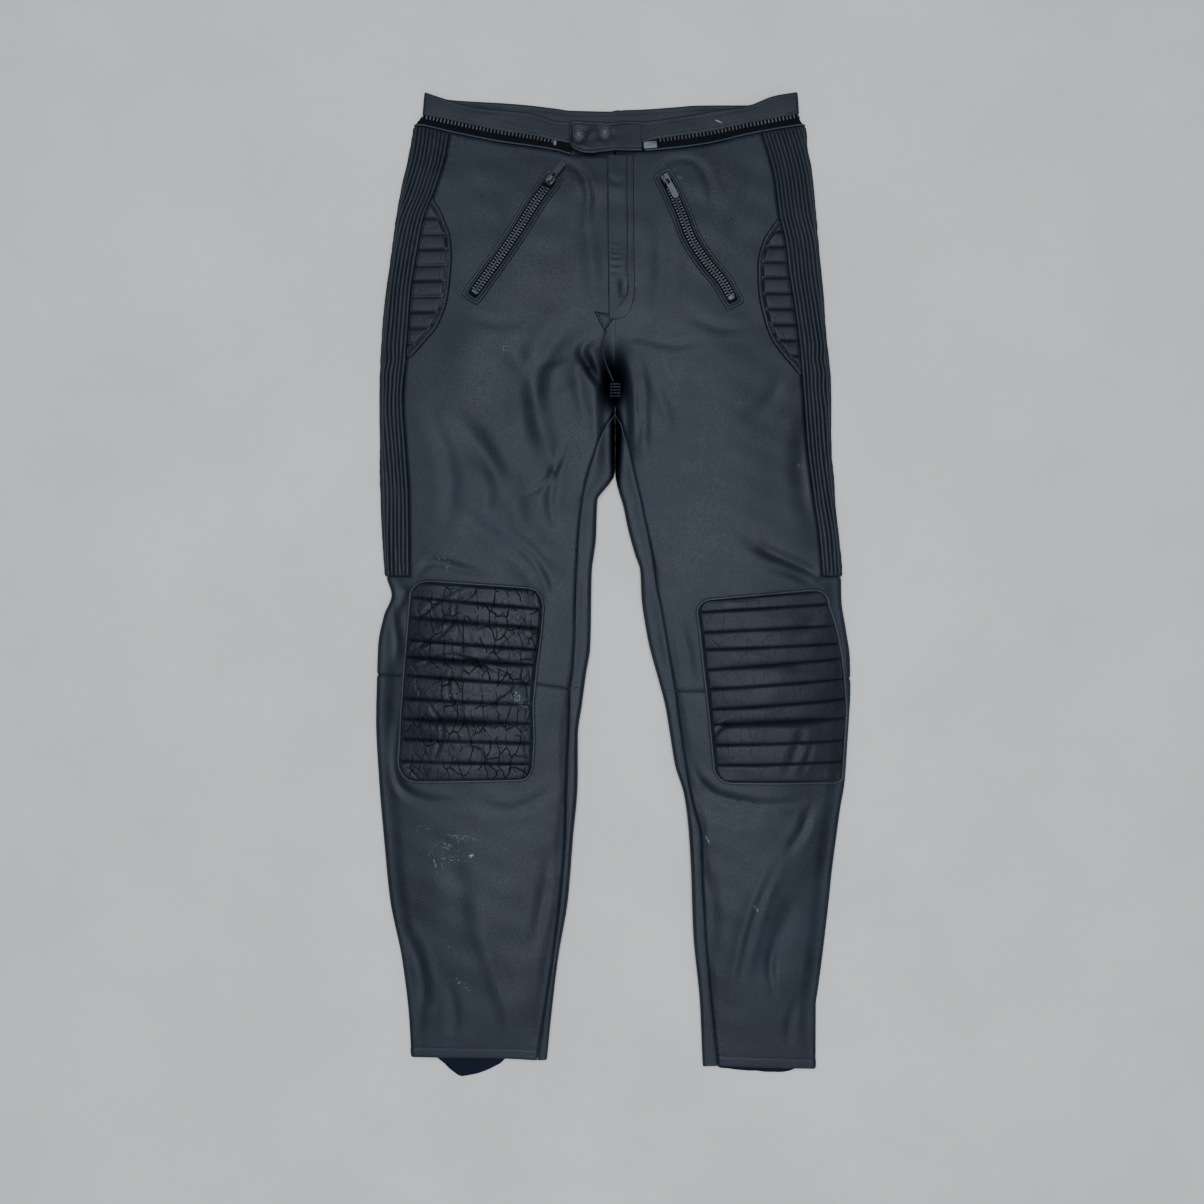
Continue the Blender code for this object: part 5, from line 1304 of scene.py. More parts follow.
HEM_TURN = 11.0
HEM_GROOVE = 0.5
HEM_FOLD = 0.35
BACK_COLUMNS = 46
THIGH_BACK_ROWS = 100
CALF_BACK_ROWS = 84
TURN_SHARE = 0.34


def back_lines(side):
    """Column lines of the back and calf panels, from the inseam round the inner edge."""
    def turned(drop):
        return half_ring(side, drop) + radius(drop) * math.pi / 2 + 1.5

    def under(drop):
        return 2.0 * half_ring(side, drop) + under_place(side, drop) - SEAM

    lines = []
    wrap = int(BACK_COLUMNS * TURN_SHARE)
    for step in range(wrap):
        lines.append(lambda drop, s=step / wrap: mix(
            inseam_place(side, drop) + SEAM, turned(drop), s))
    rest = BACK_COLUMNS - wrap
    for step in range(rest + 1):
        lines.append(lambda drop, s=step / rest: mix(turned(drop), under(drop), s))
    return lines


def cross_back(side, table):
    """Drops of the knee seam or the hem over the back's columns, from the inseam to the side."""
    front = column_lines(side)
    ends = line_drops(side, [front[-1], front[0]], table)
    return mix(ends[0], ends[1], np.linspace(0.0, 1.0, BACK_COLUMNS + 1))


def back_part(side, part, tops, bottoms, rows):
    """One panel of the back, from a waist or knee line down to a knee or hem line."""
    name = side["name"] + "_" + part
    drops = mix(tops[None, :], bottoms[None, :], crowded(rows, 0.3)[:, None])
    places = places_on(back_lines(side), drops)
    end = 2.0 * half_ring(side, drops) + under_place(side, drops)
    sink = seam_sink(places - inseam_place(side, drops), drops) + seam_sink(end - places, drops)
    outer, inner = raise_grid(side, places, drops, -sink)
    hold_edge(side, (outer, inner), drops, 0)
    piece = wall(name + "_leather", outer, inner, LEATHER_BACK)
    declare(piece, cut_of(places, drops), name + "_panel")


def thigh_and_calf_back(side):
    waist = seam_drops(side, back_lines(side), "panel_top", under=True) + BACK_WAIST_SEAM
    knee, hem = cross_back(side, side["knee_seam"]), cross_back(side, side["hem"])
    back_part(side, "back", waist, knee - SEAM, THIGH_BACK_ROWS)
    back_part(side, "calf", knee + SEAM, hem, CALF_BACK_ROWS)


def inseam_edges():
    """Edge of the turned leather that stands up along each inseam, in the lighter piping leather: a
    painted highlight on the seam's ridge.
    """
    beads = []
    for side, hem in ((RIGHT, 985.0), (LEFT, 990.0)):
        drops = np.arange(336.0, hem, 3.0)
        places = inseam_place(side, drops) + 1.7
        spots = ring_point(side, places, drops) + ring_normal(side, places, drops) * 0.1
        beads.append(tube(spots, 0.5, 6))
    fitting("inseam_edges", beads, LIT_PIPING)


RIB_COLUMNS = 8
RIB_ROWS = 150
PLAIN_COLUMNS = 5
RIB_SAG = Table("drop sway", [
    (36, 0.0), (110, 0.5), (170, -0.3), (235, 0.2), (268, -0.6), (282, 1.1), (296, -0.5),
    (312, 0.8), (340, -0.2), (400, 0.3), (470, -0.4), (509, 0.2),
])


def ribbed_side(side):
    """Side stretch panel: raised ribs over the front and the side edge, plain beneath."""
    count = RIB_COUNT * RIB_COLUMNS
    widths = np.concatenate([
        np.linspace(0.0, RIB_COUNT * RIB_PITCH, count + 1),
        np.linspace(RIB_COUNT * RIB_PITCH, RIB_WIDTH - 2 * SEAM, PLAIN_COLUMNS + 1)[1:],
    ])
    lines = [lambda drop, w=width: rib_place(side, drop) - SEAM - w for width in widths]
    first = [lambda drop: rib_place(side, drop) + SEAM]
    top = seam_drops(side, first, "panel_top")[0] + WAIST_SEAM
    under = np.array([line(40.0) < 0.0 for line in lines])
    tops = seam_drops(side, lines, "panel_top", under) + WAIST_SEAM
    shares = crowded(RIB_ROWS, 0.3)[:, None]
    level = mix(top, RIB_END - SEAM, shares)
    drops = level + (tops[None, :] - top) * smooth(0.08, 0.0, shares)
    drops = np.maximum.accumulate(drops, axis=0)
    places = places_on(lines, drops)
    heights = ring_point(side, places, drops)[..., 2]
    turn = widths / RIB_PITCH
    wave = np.abs(np.sin(np.pi * turn)) ** 0.75
    wave = np.where(widths <= RIB_COUNT * RIB_PITCH, wave, 0.0)
    sway = RIB_SAG.read(drops, "sway")
    uneven = 1.0 + 0.12 * np.sin(drops / 17.0 + turn * 2.1) + 0.1 * np.sin(drops / 41.0 - turn)
    crumple = np.sin(drops / 2.7 + 3.0 * np.sin(drops / 13.0 + turn)) * np.sin(drops / 37.0 + 0.4)
    uneven = uneven + 0.16 * crumple
    flat_ends = smooth(0.0, 2.5, drops - tops) * smooth(0.0, 2.5, RIB_END - drops)
    raised = RIB_HEIGHT * wave * uneven * smooth(0.3, 2.6, heights) * mix(0.35, 1.0, flat_ends)
    edge_in = smooth(0.0, 1.5, widths) * smooth(0.0, 1.5, RIB_WIDTH - widths)
    places = places + sway * edge_in * smooth(0.0, 20.0, widths) * smooth(0.0, 12.0, drops - tops)
    outer, inner = raise_grid(side, places, drops, raised - 0.5 * (1.0 - flat_ends), 1.0)
    piece = wall(side["name"] + "_rib_leather", outer, inner, RIB_LEATHER, sharp=75.0)
    cut = cut_of(places, drops)
    declare(piece, cut, side["name"] + "_rib_panel")


BAND_ROWS = 14
BAND_COLUMNS = 90


def band_front(side, end_across, name, node):
    """One front half of the waistband, folded under at the side."""
    shares = np.concatenate([
        np.linspace(0.0, 0.2, 34)[:-1], mix(0.2, 1.0, np.linspace(0.0, 1.0, BAND_COLUMNS - 32)),
    ])
    lines = []
    for share in shares:
        lines.append(lambda drop, s=share: mix(
            -BAND_WRAP + SEAM, place_of(side, end_across, drop), s))
    under = np.array([line(10.0) < 0.0 for line in lines])
    low = seam_drops(side, lines, "front_top", under) + 0.1
    high = seam_drops(side, lines, "band_bottom", under) - WAIST_SEAM
    drops = mix(low[None, :], high[None, :], crowded(BAND_ROWS, 0.5)[:, None])
    places = places_on(lines, drops)
    from_top, from_bottom = drops - low, high - drops
    sink = 0.5 * smooth(1.6, 0.0, from_top) + 0.9 * smooth(2.0, 0.0, from_bottom)
    sink += BAND_GROOVE * bell(from_top - BAND_STITCH, 0.9)
    sink += BAND_GROOVE * bell(from_bottom - BAND_STITCH, 0.9)
    sink -= 0.25 * np.sin(places / 9.0 + np.sin(places / 31.0)) * smooth(0.0, 8.0, from_top)
    outer, inner = raise_grid(side, places, drops, -sink, BAND_LEATHER)
    piece = wall(name, outer, inner, LEATHER_BAND)
    declare(piece, cut_of(places, drops), node)


BAND_STITCH = 3.4
BAND_GROOVE = 0.35
BACK_BAND_STEPS = 60


def band_back():
    """Back of the waistband, flat on the ground, whose inner face shows above the front."""
    lines = [(RIGHT, step / BACK_BAND_STEPS) for step in range(BACK_BAND_STEPS + 1)]
    lines += [(LEFT, step / BACK_BAND_STEPS) for step in range(BACK_BAND_STEPS, -1, -1)]
    outer, inner, flat_places, flat_drops = [], [], [], []
    travel = 0.0
    for side, share in lines:
        def line(drop):
            middle = place_of(side, BACK_MIDDLE, drop, under=True)
            return mix(-BAND_WRAP - SEAM, middle, share)

        low = seam_drops(side, [line], "front_top", under=True)[0] + 0.1
        high = seam_drops(side, [line], "band_bottom", under=True)[0] - WAIST_SEAM
        drops = mix(low, high, crowded(BAND_ROWS, 0.5))
        points = ring_point(side, line(drops), drops)
        points[:, 2] = 0.0
        x = points[:, 0]
        thick = BAND_LEATHER + 0.25 * np.sin(x / 13.0) * smooth(2.0, 8.0, drops - low)
        thick = thick - 0.45 * smooth(1.8, 0.0, drops - low)
        thick = thick - BAND_GROOVE * bell(drops - low - BAND_STITCH, 0.9)
        thick = thick - 0.9 * bell(x - BACK_SEAM_X, 1.0)
        tuck = bell(drops - low - TUCK_DROP, 1.3)
        thick = thick - 0.9 * tuck * smooth(*TUCK_START, x) * smooth(*TUCK_END, x)
        outer.append(points)
        inner.append(points + np.stack([0 * x, 0 * x, thick], axis=-1))
        flat_places.append(np.full(len(drops), travel))
        flat_drops.append(drops)
        travel = x[0]
    outer, inner = np.array(outer).transpose(1, 0, 2), np.array(inner).transpose(1, 0, 2)
    piece = wall("waistband_inside", inner, outer, LEATHER_BAND)
    width = float(np.ptp(inner[0, :, 0]))
    deep = float(np.mean([drops[-1] - drops[0] for drops in flat_drops]))
    most = float(max(np.max(drops) for drops in flat_drops) - min(np.min(d) for d in flat_drops))
    cut = ((width * MM, most * MM), width * deep * MM * MM)
    declare(piece, cut, "waistband_back")


BACK_SEAM_X = 8.1
TUCK_DROP = 10.0
TUCK_START = (126, 132)
TUCK_END = (160, 154)


# Padded panels

PAD_CHANNELS = 10
PAD_CHANNEL_ROWS = 15
PAD_COLUMNS = 104
PAD_WIDTH = 140.0
PAD_PITCH = 20.5
PAD_CREST = 12.4
PAD_EDGE = 5.4
PAD_GROOVE = 1.9
PAD_DEEP_GROOVE = 4.6
PAD_REST = 0.6
PIPING_HEIGHT = 3.0
PIPING_RADIUS = 1.45
EDGE_MARGIN = 4.8
SEWN_WIDTH = 1.15
DEEP_WIDTH = 3.8
CRACKLE_ACROSS = 15.0
CRACKLE_DOWN = 23.0
CRACKLE_WIDTH = 0.09
CRACKLE_DEPTH = {"right": 0.85, "left": 0.16}
PAD_FOLDS = {
    "right": [
        ("upper diagonal", 2.0, -1.2, [(-208, 558), (-176, 530), (-150, 516)]),
        ("middle diagonal", 2.4, -1.6, [(-212, 586), (-180, 570), (-158, 548)]),
        ("cross", 1.8, -1.1, [(-150, 612), (-120, 586), (-92, 560)]),
        ("long cross", 2.0, -1.3, [(-206, 604), (-168, 590), (-120, 606), (-88, 622)]),
        ("right diagonal", 2.0, -1.3, [(-84, 610), (-112, 634), (-140, 650)]),
        ("low diagonal", 2.0, -1.2, [(-190, 640), (-176, 668), (-186, 700)]),
        ("low cross", 2.4, -1.0, [(-132, 668), (-138, 696), (-128, 716)]),
        ("upright", 1.7, -1.0, [(-160, 524), (-164, 548), (-158, 574)]),
        ("upright low", 1.7, -1.0, [(-164, 600), (-170, 628), (-162, 652)]),
    ],
    "left": [
        ("low fold", 5.0, -1.6, [(196, 664), (188, 690), (178, 712)]),
        ("low fold two", 3.6, -1.0, [(206, 676), (200, 698), (192, 712)]),
        ("upper dent", 6.0, -1.0, [(216, 548), (200, 560), (182, 566)]),
        ("middle dent", 6.0, -0.9, [(168, 596), (196, 604), (222, 602)]),
        ("inner pinch", 3.0, -1.6, [(100, 676), (112, 664), (130, 658)]),
    ],
}


def pad_spot(side, line, share):
    """x and drop on a knee pad: line counts the sewn lines down it, share runs across it."""
    table = side["knee_pad"]
    first = np.minimum(np.floor(line).astype(int), PAD_CHANNELS - 1)
    part = np.clip(line - first, 0.0, 1.0)
    top_turn = np.sqrt(1.0 - (1.0 - part) ** 2)
    bottom_turn = 1.0 - np.sqrt(1.0 - part ** 2)
    turn = np.where(first == 0, top_turn, np.where(first == PAD_CHANNELS - 1, bottom_turn, part))
    ends = {}
    for column, name in enumerate(table.names[1:], start=1):
        bend = turn if name.endswith("across") else part
        ends[name] = mix(table.values[first, column], table.values[first + 1, column], bend)
    edge = side["side_edge"].read(ends["outer_drop"], "across") - EDGE_MARGIN
    outer_across = np.minimum(ends["outer_across"], edge)
    across = mix(outer_across, ends["inner_across"], share)
    drop = mix(ends["outer_drop"], ends["inner_drop"], share)
    return side["sign"] * across, drop


def pad_rise(side, line, share):
    """Height of the stuffed leather above the panel it is sewn on."""
    across = np.clip(np.sin(np.pi * share), 0.0, 1.0) ** 0.6
    down = np.clip(np.sin(np.pi * line / PAD_CHANNELS), 0.0, 1.0) ** 0.4
    body = mix(PAD_EDGE, PAD_CREST, across * down)
    nearest = np.round(line)
    inside = (nearest > 0) & (nearest < PAD_CHANNELS)
    away = np.abs(line - nearest) * PAD_PITCH
    deep = np.zeros(np.shape(line))
    for number, amount in side["deep_lines"].items():
        reach = np.sin(np.pi * np.clip(share * 1.1 - 0.02, 0.0, 1.0)) ** 0.5
        deep = np.where(nearest == number, amount * reach, deep)
    body = body - 1.1 * np.exp(-away / 4.2) * inside
    body = body - PAD_GROOVE * bell(away, SEWN_WIDTH) * inside
    extra = PAD_DEEP_GROOVE - PAD_GROOVE
    body = body - extra * deep * bell(away, DEEP_WIDTH) * inside
    swell = 0.5 * np.sin(share * 9.0 + line * 2.3) * np.sin(np.pi * (line % 1.0))
    return body + swell


def crackle(x, drop, depth):
    """Network of fine creases in stiff, worn leather."""
    result = np.zeros(x.shape)
    flat = result.reshape(-1)
    for spot, (a, b) in enumerate(zip(x.reshape(-1), drop.reshape(-1))):
        bend = noise.noise(Vector((a / 21.0, b / 17.0, 3.0)))
        place = Vector((a / CRACKLE_ACROSS + 0.5 * bend, b / CRACKLE_DOWN + 0.3 * bend, 0.0))
        near = noise.voronoi(place)[0]
        patch = 0.45 + 0.75 * noise.noise(Vector((a / 33.0, b / 29.0, 9.0)))
        edge = near[1] - near[0]
        flat[spot] = -max(0.0, patch) * math.exp(-((edge / CRACKLE_WIDTH) ** 2))
    return result * depth


def knee_pad(side):
    """Padded knee panel: ten channels between sewn lines, inside a piped edge."""
    name = side["name"]
    rows = PAD_CHANNELS * PAD_CHANNEL_ROWS
    line, share = np.meshgrid(
        np.linspace(0.0, PAD_CHANNELS, rows + 1), crowded(PAD_COLUMNS, 0.5), indexing="ij"
    )
    x, drop = pad_spot(side, line, share)
    base = front_height(x, drop) + PAD_REST
    rise = pad_rise(side, line, share)
    rise += near_lines(softened(PAD_FOLDS[name]), x, drop, soft_crease)
    rise += crackle(x, drop, CRACKLE_DEPTH[name]) + 0.6 * ripples(x * 1.7, drop * 1.7)
    to_edge = np.minimum(np.minimum(share, 1.0 - share) * PAD_WIDTH,
                         np.minimum(line, PAD_CHANNELS - line) * PAD_PITCH)
    rise = mix(PIPING_HEIGHT - 0.2, rise, smooth(0.0, 4.2, to_edge))
    outer = points_at(x, drop, base + np.maximum(rise, 1.0))
    inner = points_at(x, drop, base)
    piece = wall(name + "_knee_cushion", outer, inner, PAD_LEATHERS[name], sharp=70.0)
    trim(piece, node=name + "_knee_pad")
    border = np.concatenate([outer[0], outer[1:-1, -1], outer[-1][::-1], outer[1:-1, 0][::-1]])
    border = measured(np.vstack([border, border[:1]]), 2.0)[:-1]
    border[:, 2] = front_height(border[:, 0], TOP_Y - border[:, 1]) + PAD_REST + PIPING_HEIGHT - 0.3
    bead = tube(border, PIPING_RADIUS, 10, closed=True)
    # The piping's lighter leather is a painted highlight on the bead
    fitting(name + "_knee_piping", [bead], LIT_PIPING)
    rows_of_thread = []
    for number in range(1, PAD_CHANNELS):
        ends = np.linspace(0.03, 0.97, 50)
        at = np.full(ends.shape, float(number))
        px, pd = pad_spot(side, at, ends)
        top = front_height(px, pd) + PAD_REST + pad_rise(side, at, ends)
        rows_of_thread.append(points_at(px, pd, top - 0.1))
    fitting(name + "_knee_thread", stitches(rows_of_thread), THREAD)


HIP_FIRST_LINE = {"right": 135.5, "left": 149.0}
HIP_LINE_PITCH = {"right": 16.4, "left": 16.3}
HIP_LINES = 9
HIP_ROWS = 150
HIP_COLUMNS = 26
HIP_CREST = 3.9
HIP_BORDER = 5.2
HIP_BORDER_RISE = 2.2


def hip_pad(side):
    """D-shaped padded insert between its double-sewn curved edge and the ribbed panel."""
    name = side["name"]
    table = side["hip_pad"]
    first, last = table.rows[0][0], table.rows[-1][0]
    down, share = np.meshgrid(
        np.linspace(first, last, HIP_ROWS + 1), np.linspace(0.0, 1.0, HIP_COLUMNS + 1),
        indexing="ij",
    )
    ribbed = side["rib_seam"].read(down, "across") - 1.0
    curve = np.minimum(table.read(down, "across"), ribbed - 2.0)
    across = mix(curve, ribbed, share)
    x = side["sign"] * across
    slope = np.gradient(curve[:, 0], down[:, 0])[:, None]
    from_curve = (across - curve) / np.sqrt(1.0 + slope ** 2)
    from_ribs = ribbed - across
    number = (down - HIP_FIRST_LINE[name]) / HIP_LINE_PITCH[name]
    nearest = np.clip(np.round(number + 0.02 * np.sin(across)), 0, HIP_LINES - 1)
    away = np.abs(number - nearest) * HIP_LINE_PITCH[name]
    pillow = HIP_CREST - 1.2 * np.exp(-away / 3.0) - 1.2 * bell(away, 1.2)
    pillow = pillow - 0.7 * smooth(3.0, 0.0, from_ribs)
    inside = smooth(HIP_BORDER - 0.6, HIP_BORDER + 2.4, from_curve)
    rise = mix(HIP_BORDER_RISE, pillow, inside)
    rise -= 0.9 * bell(from_curve - HIP_BORDER, 0.8)
    rise -= 1.6 * smooth(1.2, 0.0, from_curve)
    rise -= 1.6 * smooth(2.0, 0.0, np.minimum(down - first, last - down))
    base = front_height(x, down) + REST
    piece = layer(name + "_hip_cushion", x, down, base, np.maximum(rise, 0.5),
                  PAD_LEATHERS["left"], 70.0)
    trim(piece, node=name + "_hip_pad")
    rows_of_thread = []
    drops = np.linspace(first + 3.0, last - 3.0, 80)
    edge = np.minimum(table.read(drops, "across"), side["rib_seam"].read(drops, "across") - 3.0)
    slopes = np.gradient(edge, drops)
    for offset, lift in ((1.1, 2.4), (HIP_BORDER - 1.1, 2.5)):
        spots = edge + offset * np.sqrt(1.0 + slopes ** 2)
        keep = spots < side["rib_seam"].read(drops, "across") - 1.5
        line = on_front(side["sign"] * spots[keep], drops[keep], lift)
        rows_of_thread.append(line)
    for line in range(HIP_LINES):
        level = HIP_FIRST_LINE[name] + line * HIP_LINE_PITCH[name]
        start = table.read(level, "across") + HIP_BORDER + 1.0
        end = side["rib_seam"].read(level, "across") - 1.5
        if end - start > 5.0:
            spots = np.linspace(start, end, 16)
            rows_of_thread.append(on_front(side["sign"] * spots, np.full(16, level), 1.95))
    fitting(name + "_hip_thread", stitches(rows_of_thread), THREAD)


# Fly, tab and press studs

PLACKET = Table("drop left right", [
    (69, -6.5, 18.5), (110, -6.3, 19.0), (150, -6.0, 19.5), (190, -5.6, 20.0),
    (216, -5.4, 20.2), (229, -5.2, 18.5), (237, -5.0, 13.5), (241, -4.8, 6.0),
])
PLACKET_EDGE = 2.4
PLACKET_SEWN = 1.0
PLACKET_FOLDS = [
    ("first", 1.6, -0.6, [(-6, 166), (3, 169), (12, 167)]),
    ("second", 1.6, -0.8, [(-6, 171), (4, 173), (13, 172)]),
    ("third", 1.7, -0.7, [(-5, 177), (3, 178), (11, 176)]),
    ("fourth", 2.0, -0.6, [(-5, 184), (4, 186), (12, 183)]),
    ("fifth", 2.2, -0.5, [(-4, 192), (4, 193), (10, 190)]),
    ("upper", 4.0, -0.6, [(-6, 92), (4, 98), (12, 94)]),
    ("dent", 4.0, -1.2, [(9, 198), (11, 208), (10, 220)]),
]
FLY_LINES = [
    [(14.2, 68.0), (14.4, 110.0), (14.7, 160.0), (15.0, 204.0), (14.2, 216.0), (8.5, 224.5),
     (3.0, 230.0)],
    [(20.8, 68.0), (21.0, 110.0), (21.3, 160.0), (21.8, 206.0), (20.6, 222.0), (13.5, 233.0),
     (5.0, 238.5)],
]


def fly_placket():
    """Flap over the fly zip: free edge on the wearer's right, sewn down on the left."""
    rows, columns = 110, 26
    drops = np.linspace(PLACKET.rows[0][0], PLACKET.rows[-1][0], rows + 1)[:, None]
    share = crowded(columns, 0.6)[None, :]
    drop = np.broadcast_to(drops, (rows + 1, columns + 1))
    x = mix(PLACKET.read(drops, "left"), PLACKET.read(drops, "right"), share)
    rise = mix(PLACKET_EDGE, PLACKET_SEWN, share) + 0.0 * x
    rise = rise + near_lines(softened(PLACKET_FOLDS), x, drop, soft_crease)
    width = PLACKET.read(drops, "right") - PLACKET.read(drops, "left")
    rise -= 0.9 * smooth(1.6, 0.0, share * width)
    rise -= 0.35 * bell(x - 14.6, 0.9) * smooth(212, 206, drop)
    rise += 0.35 * np.sin(share * np.pi) * np.sin(drop / 13.0)
    base = front_height(x, drop) + REST
    piece = layer("fly_flap", x, drop, base, np.maximum(rise, 0.5), LEATHER_FRONT)
    sewn = [on_front(*rounded(line).T, lift) for line, lift in zip(FLY_LINES, (1.75, 0.45))]
    thread = fitting("fly_thread", stitches(sewn, width=0.95), THREAD)
    declare(piece, flat_cut(0.0266, 0.172, 0.94), "fly_placket")


TACK = [(-19.5, 233.5), (2.9, 236.8), (-9.2, 253.6), (-19.5, 233.5)]
CROTCH_SEAM = [(-9.2, 253.6), (-12.9, 272.0), (-9.0, 287.0), (-1.5, 304.0)]
GATHERS = (306.5, 309.6, 312.9, 316.1, 319.4)


def crotch_tack():
    """Sewn triangle that holds the foot of the fly, and the seam that runs on under it."""
    sides = [on_front(*measured(np.array([a, b]), 2.0).T, 1.1) for a, b in zip(TACK, TACK[1:])]
    small = np.array(TACK) * 0.62 + np.array([-8.6, 241.3]) * 0.38
    sides += [on_front(*measured(np.array([a, b]), 2.0).T, 1.1) for a, b in zip(small, small[1:])]
    sides.append(on_front(*rounded(CROTCH_SEAM).T, 0.5))
    # A raised bead along the crotch seam's edge, in the lighter gathered leather: a painted
    # highlight on the lit edge
    edge = on_front(*(rounded(CROTCH_SEAM) + [1.7, 0.0]).T, 0.3)
    beads = [tube(measured(edge, 2.0), 0.75, 8)]
    for drop in GATHERS:
        across = np.linspace(-3.5, 7.5, 9)
        beads.append(tube(on_front(across, drop + 0.04 * (across - 2) ** 2, 0.5), 0.95, 8))
    fitting("crotch_gathers", beads, LIT_GATHER_LEATHER)
    fitting("crotch_thread", stitches(sides, width=0.8), THREAD)
    rows, columns = 14, 14
    down = np.linspace(0.0, 1.0, rows + 1)[:, None]
    share = np.linspace(0.0, 1.0, columns + 1)[None, :]
    left = mix(np.array(TACK[0]), np.array(TACK[2]), down[..., None] * 0.98)
    right = mix(np.array(TACK[1]), np.array(TACK[2]), down[..., None] * 0.98)
    spots = mix(left, right, share[..., None])
    x, drop = spots[..., 0], spots[..., 1]
    edge = np.minimum(np.minimum(share, 1 - share) * (1 - down) * 22, down * 20)
    top = on_front(x, drop, 0.4 + 0.6 * smooth(0.0, 1.2, edge))
    piece = wall("crotch_patch", top, on_front(x, drop, 0.1), LEATHER_BAND)
    declare(piece, flat_cut(0.0226, 0.0185, 0.5), None)


TAB = Table("x top bottom", [
    (-46.0, 33.0, 55.0), (-44.0, 31.5, 59.0), (-39.0, 31.0, 62.5), (-31.0, 31.5, 65.5),
    (-23.0, 32.0, 66.2), (-10.0, 32.8, 64.5), (4.0, 32.0, 63.0), (10.0, 30.6, 62.8),
    (20.0, 30.4, 62.6), (29.6, 31.0, 62.4),
])
TAB_LEATHER = 2.2
TAB_STEP = (-5.0, 24.0)
SNAPS = (("outer", -36.0, 47.2), ("inner", -8.7, 45.2))
SNAP_RADIUS = 6.4


def tab_base(x, drop):
    band_top = ring_point(RIGHT, place_of(RIGHT, 20.0, drop), drop)[..., 2]
    return mix(band_top + 2 * REST, band_top - BAND_LEATHER, smooth(*TAB_STEP, x))


def tab_rise(x, drop):
    """Thickness of the tab, with its edges, dimples round the studs and small pulls."""
    top, bottom = TAB.read(x, "top"), TAB.read(x, "bottom")
    edge = np.minimum(np.minimum(drop - top, bottom - drop), x - TAB.rows[0][0])
    rise = TAB_LEATHER - 0.7 * smooth(1.6, 0.0, edge)
    rise -= 0.4 * bell(edge - 3.2, 0.8)
    for _, sx, sdrop in SNAPS:
        away = np.hypot(x - sx, drop - sdrop)
        angle = np.arctan2(drop - sdrop, x - sx)
        rise -= 0.7 * bell(away - SNAP_RADIUS - 1.0, 1.6)
        rise += 0.3 * np.sin(angle * 5.0 + sx) * bell(away - 11.0, 4.5)
    rise += 0.35 * np.sin(x / 4.1 + np.sin(drop / 7.0)) * smooth(6.0, -30.0, x)
    return np.maximum(rise, 0.8)


def waist_tab():
    """Tab of the wearer's left waistband, lapped over the right one."""
    rows, columns = 30, 84
    x = mix(TAB.rows[0][0], TAB.rows[-1][0], crowded(columns, 0.5))[None, :]
    down = crowded(rows, 0.5)[:, None]
    drop = mix(TAB.read(x, "top"), TAB.read(x, "bottom"), down)
    x = np.broadcast_to(x, drop.shape)
    base = tab_base(x, drop)
    piece = layer("waist_tab_leather", x, drop, base, tab_rise(x, drop), LEATHER_BAND)
    line = []
    for sx in np.linspace(28.0, -42.5, 40):
        line.append((sx, TAB.read(sx, "bottom") - 3.2))
    for sx in np.linspace(-42.5, 28.0, 40):
        line.append((sx, TAB.read(sx, "top") + 3.2))
    line = np.array(line)
    height = tab_base(line[:, 0], line[:, 1]) + tab_rise(line[:, 0], line[:, 1]) + 0.05
    sewn = stitches([points_at(line[:, 0], line[:, 1], height)])
    thread = fitting("waist_tab_thread", sewn, THREAD)
    declare(piece, flat_cut(0.0756, 0.0352, 0.92), "waistband_tab")


def snap_cap(name, x, drop):
    """Round press-stud cap: rolled rim, sunk face, a plain raised ring and fine spokes."""
    base = float(tab_base(np.float64(x), np.float64(drop)) + TAB_LEATHER) - 0.35
    profile = [
        (1.0, -0.3), (1.02, 0.5), (1.0, 1.1), (0.95, 1.55), (0.88, 1.75), (0.8, 1.7), (0.76, 1.4),
        (0.73, 1.05), (0.66, 0.95), (0.56, 0.95), (0.5, 1.2), (0.42, 1.2), (0.36, 0.95),
        (0.2, 1.0), (0.06, 1.08),
    ]
    sides = 72
    points = []
    for number, (share, rise) in enumerate(profile):
        for step in range(sides):
            angle = 2 * math.pi * step / sides
            spoke = 0.16 * math.cos(18 * angle) if number in (7, 8, 9) else 0.0
            points.append((x + SNAP_RADIUS * share * math.cos(angle),
                           TOP_Y - drop + SNAP_RADIUS * share * math.sin(angle),
                           base + rise + spoke))
    faces = ring_faces(len(profile), sides)
    faces.append(tuple(range((len(profile) - 1) * sides, len(profile) * sides)))
    faces.append(tuple(range(sides))[::-1])
    fitting("snap_cap_" + name, [(np.array(points), faces)], SNAP_METAL, 50.0,
            "snap_" + name)


# Zips

def block(centre, along, across, size, chamfer=0.3, corner=3.0, sides=12):
    """Small moulded block with rounded corners and a chamfered top: size is long, wide, high."""
    centre, along, across = np.asarray(centre), np.asarray(along), np.asarray(across)
    long, wide, high = size
    rings = ((0.0, 0.0), (0.0, high - chamfer), (chamfer, high))
    points = []
    for inset, rise in rings:
        for step in range(sides):
            angle = 2 * math.pi * (step + 0.5) / sides
            c, s = math.cos(angle), math.sin(angle)
            a = math.copysign(abs(c) ** (2.0 / corner), c) * (long / 2 - inset)
            b = math.copysign(abs(s) ** (2.0 / corner), s) * (wide / 2 - inset)
            points.append(centre + along * a + across * b + np.array([0.0, 0.0, rise]))
    faces = [tuple(range(sides))[::-1], tuple(range(2 * sides, 3 * sides))]
    return np.array(points), faces + ring_faces(len(rings), sides)


RIGHT_ZIP_END = 59.0
LEFT_ZIP_END = 45.0
WAIST_TOOTH_PITCH = 3.85
TAPE_SUNK = 0.5


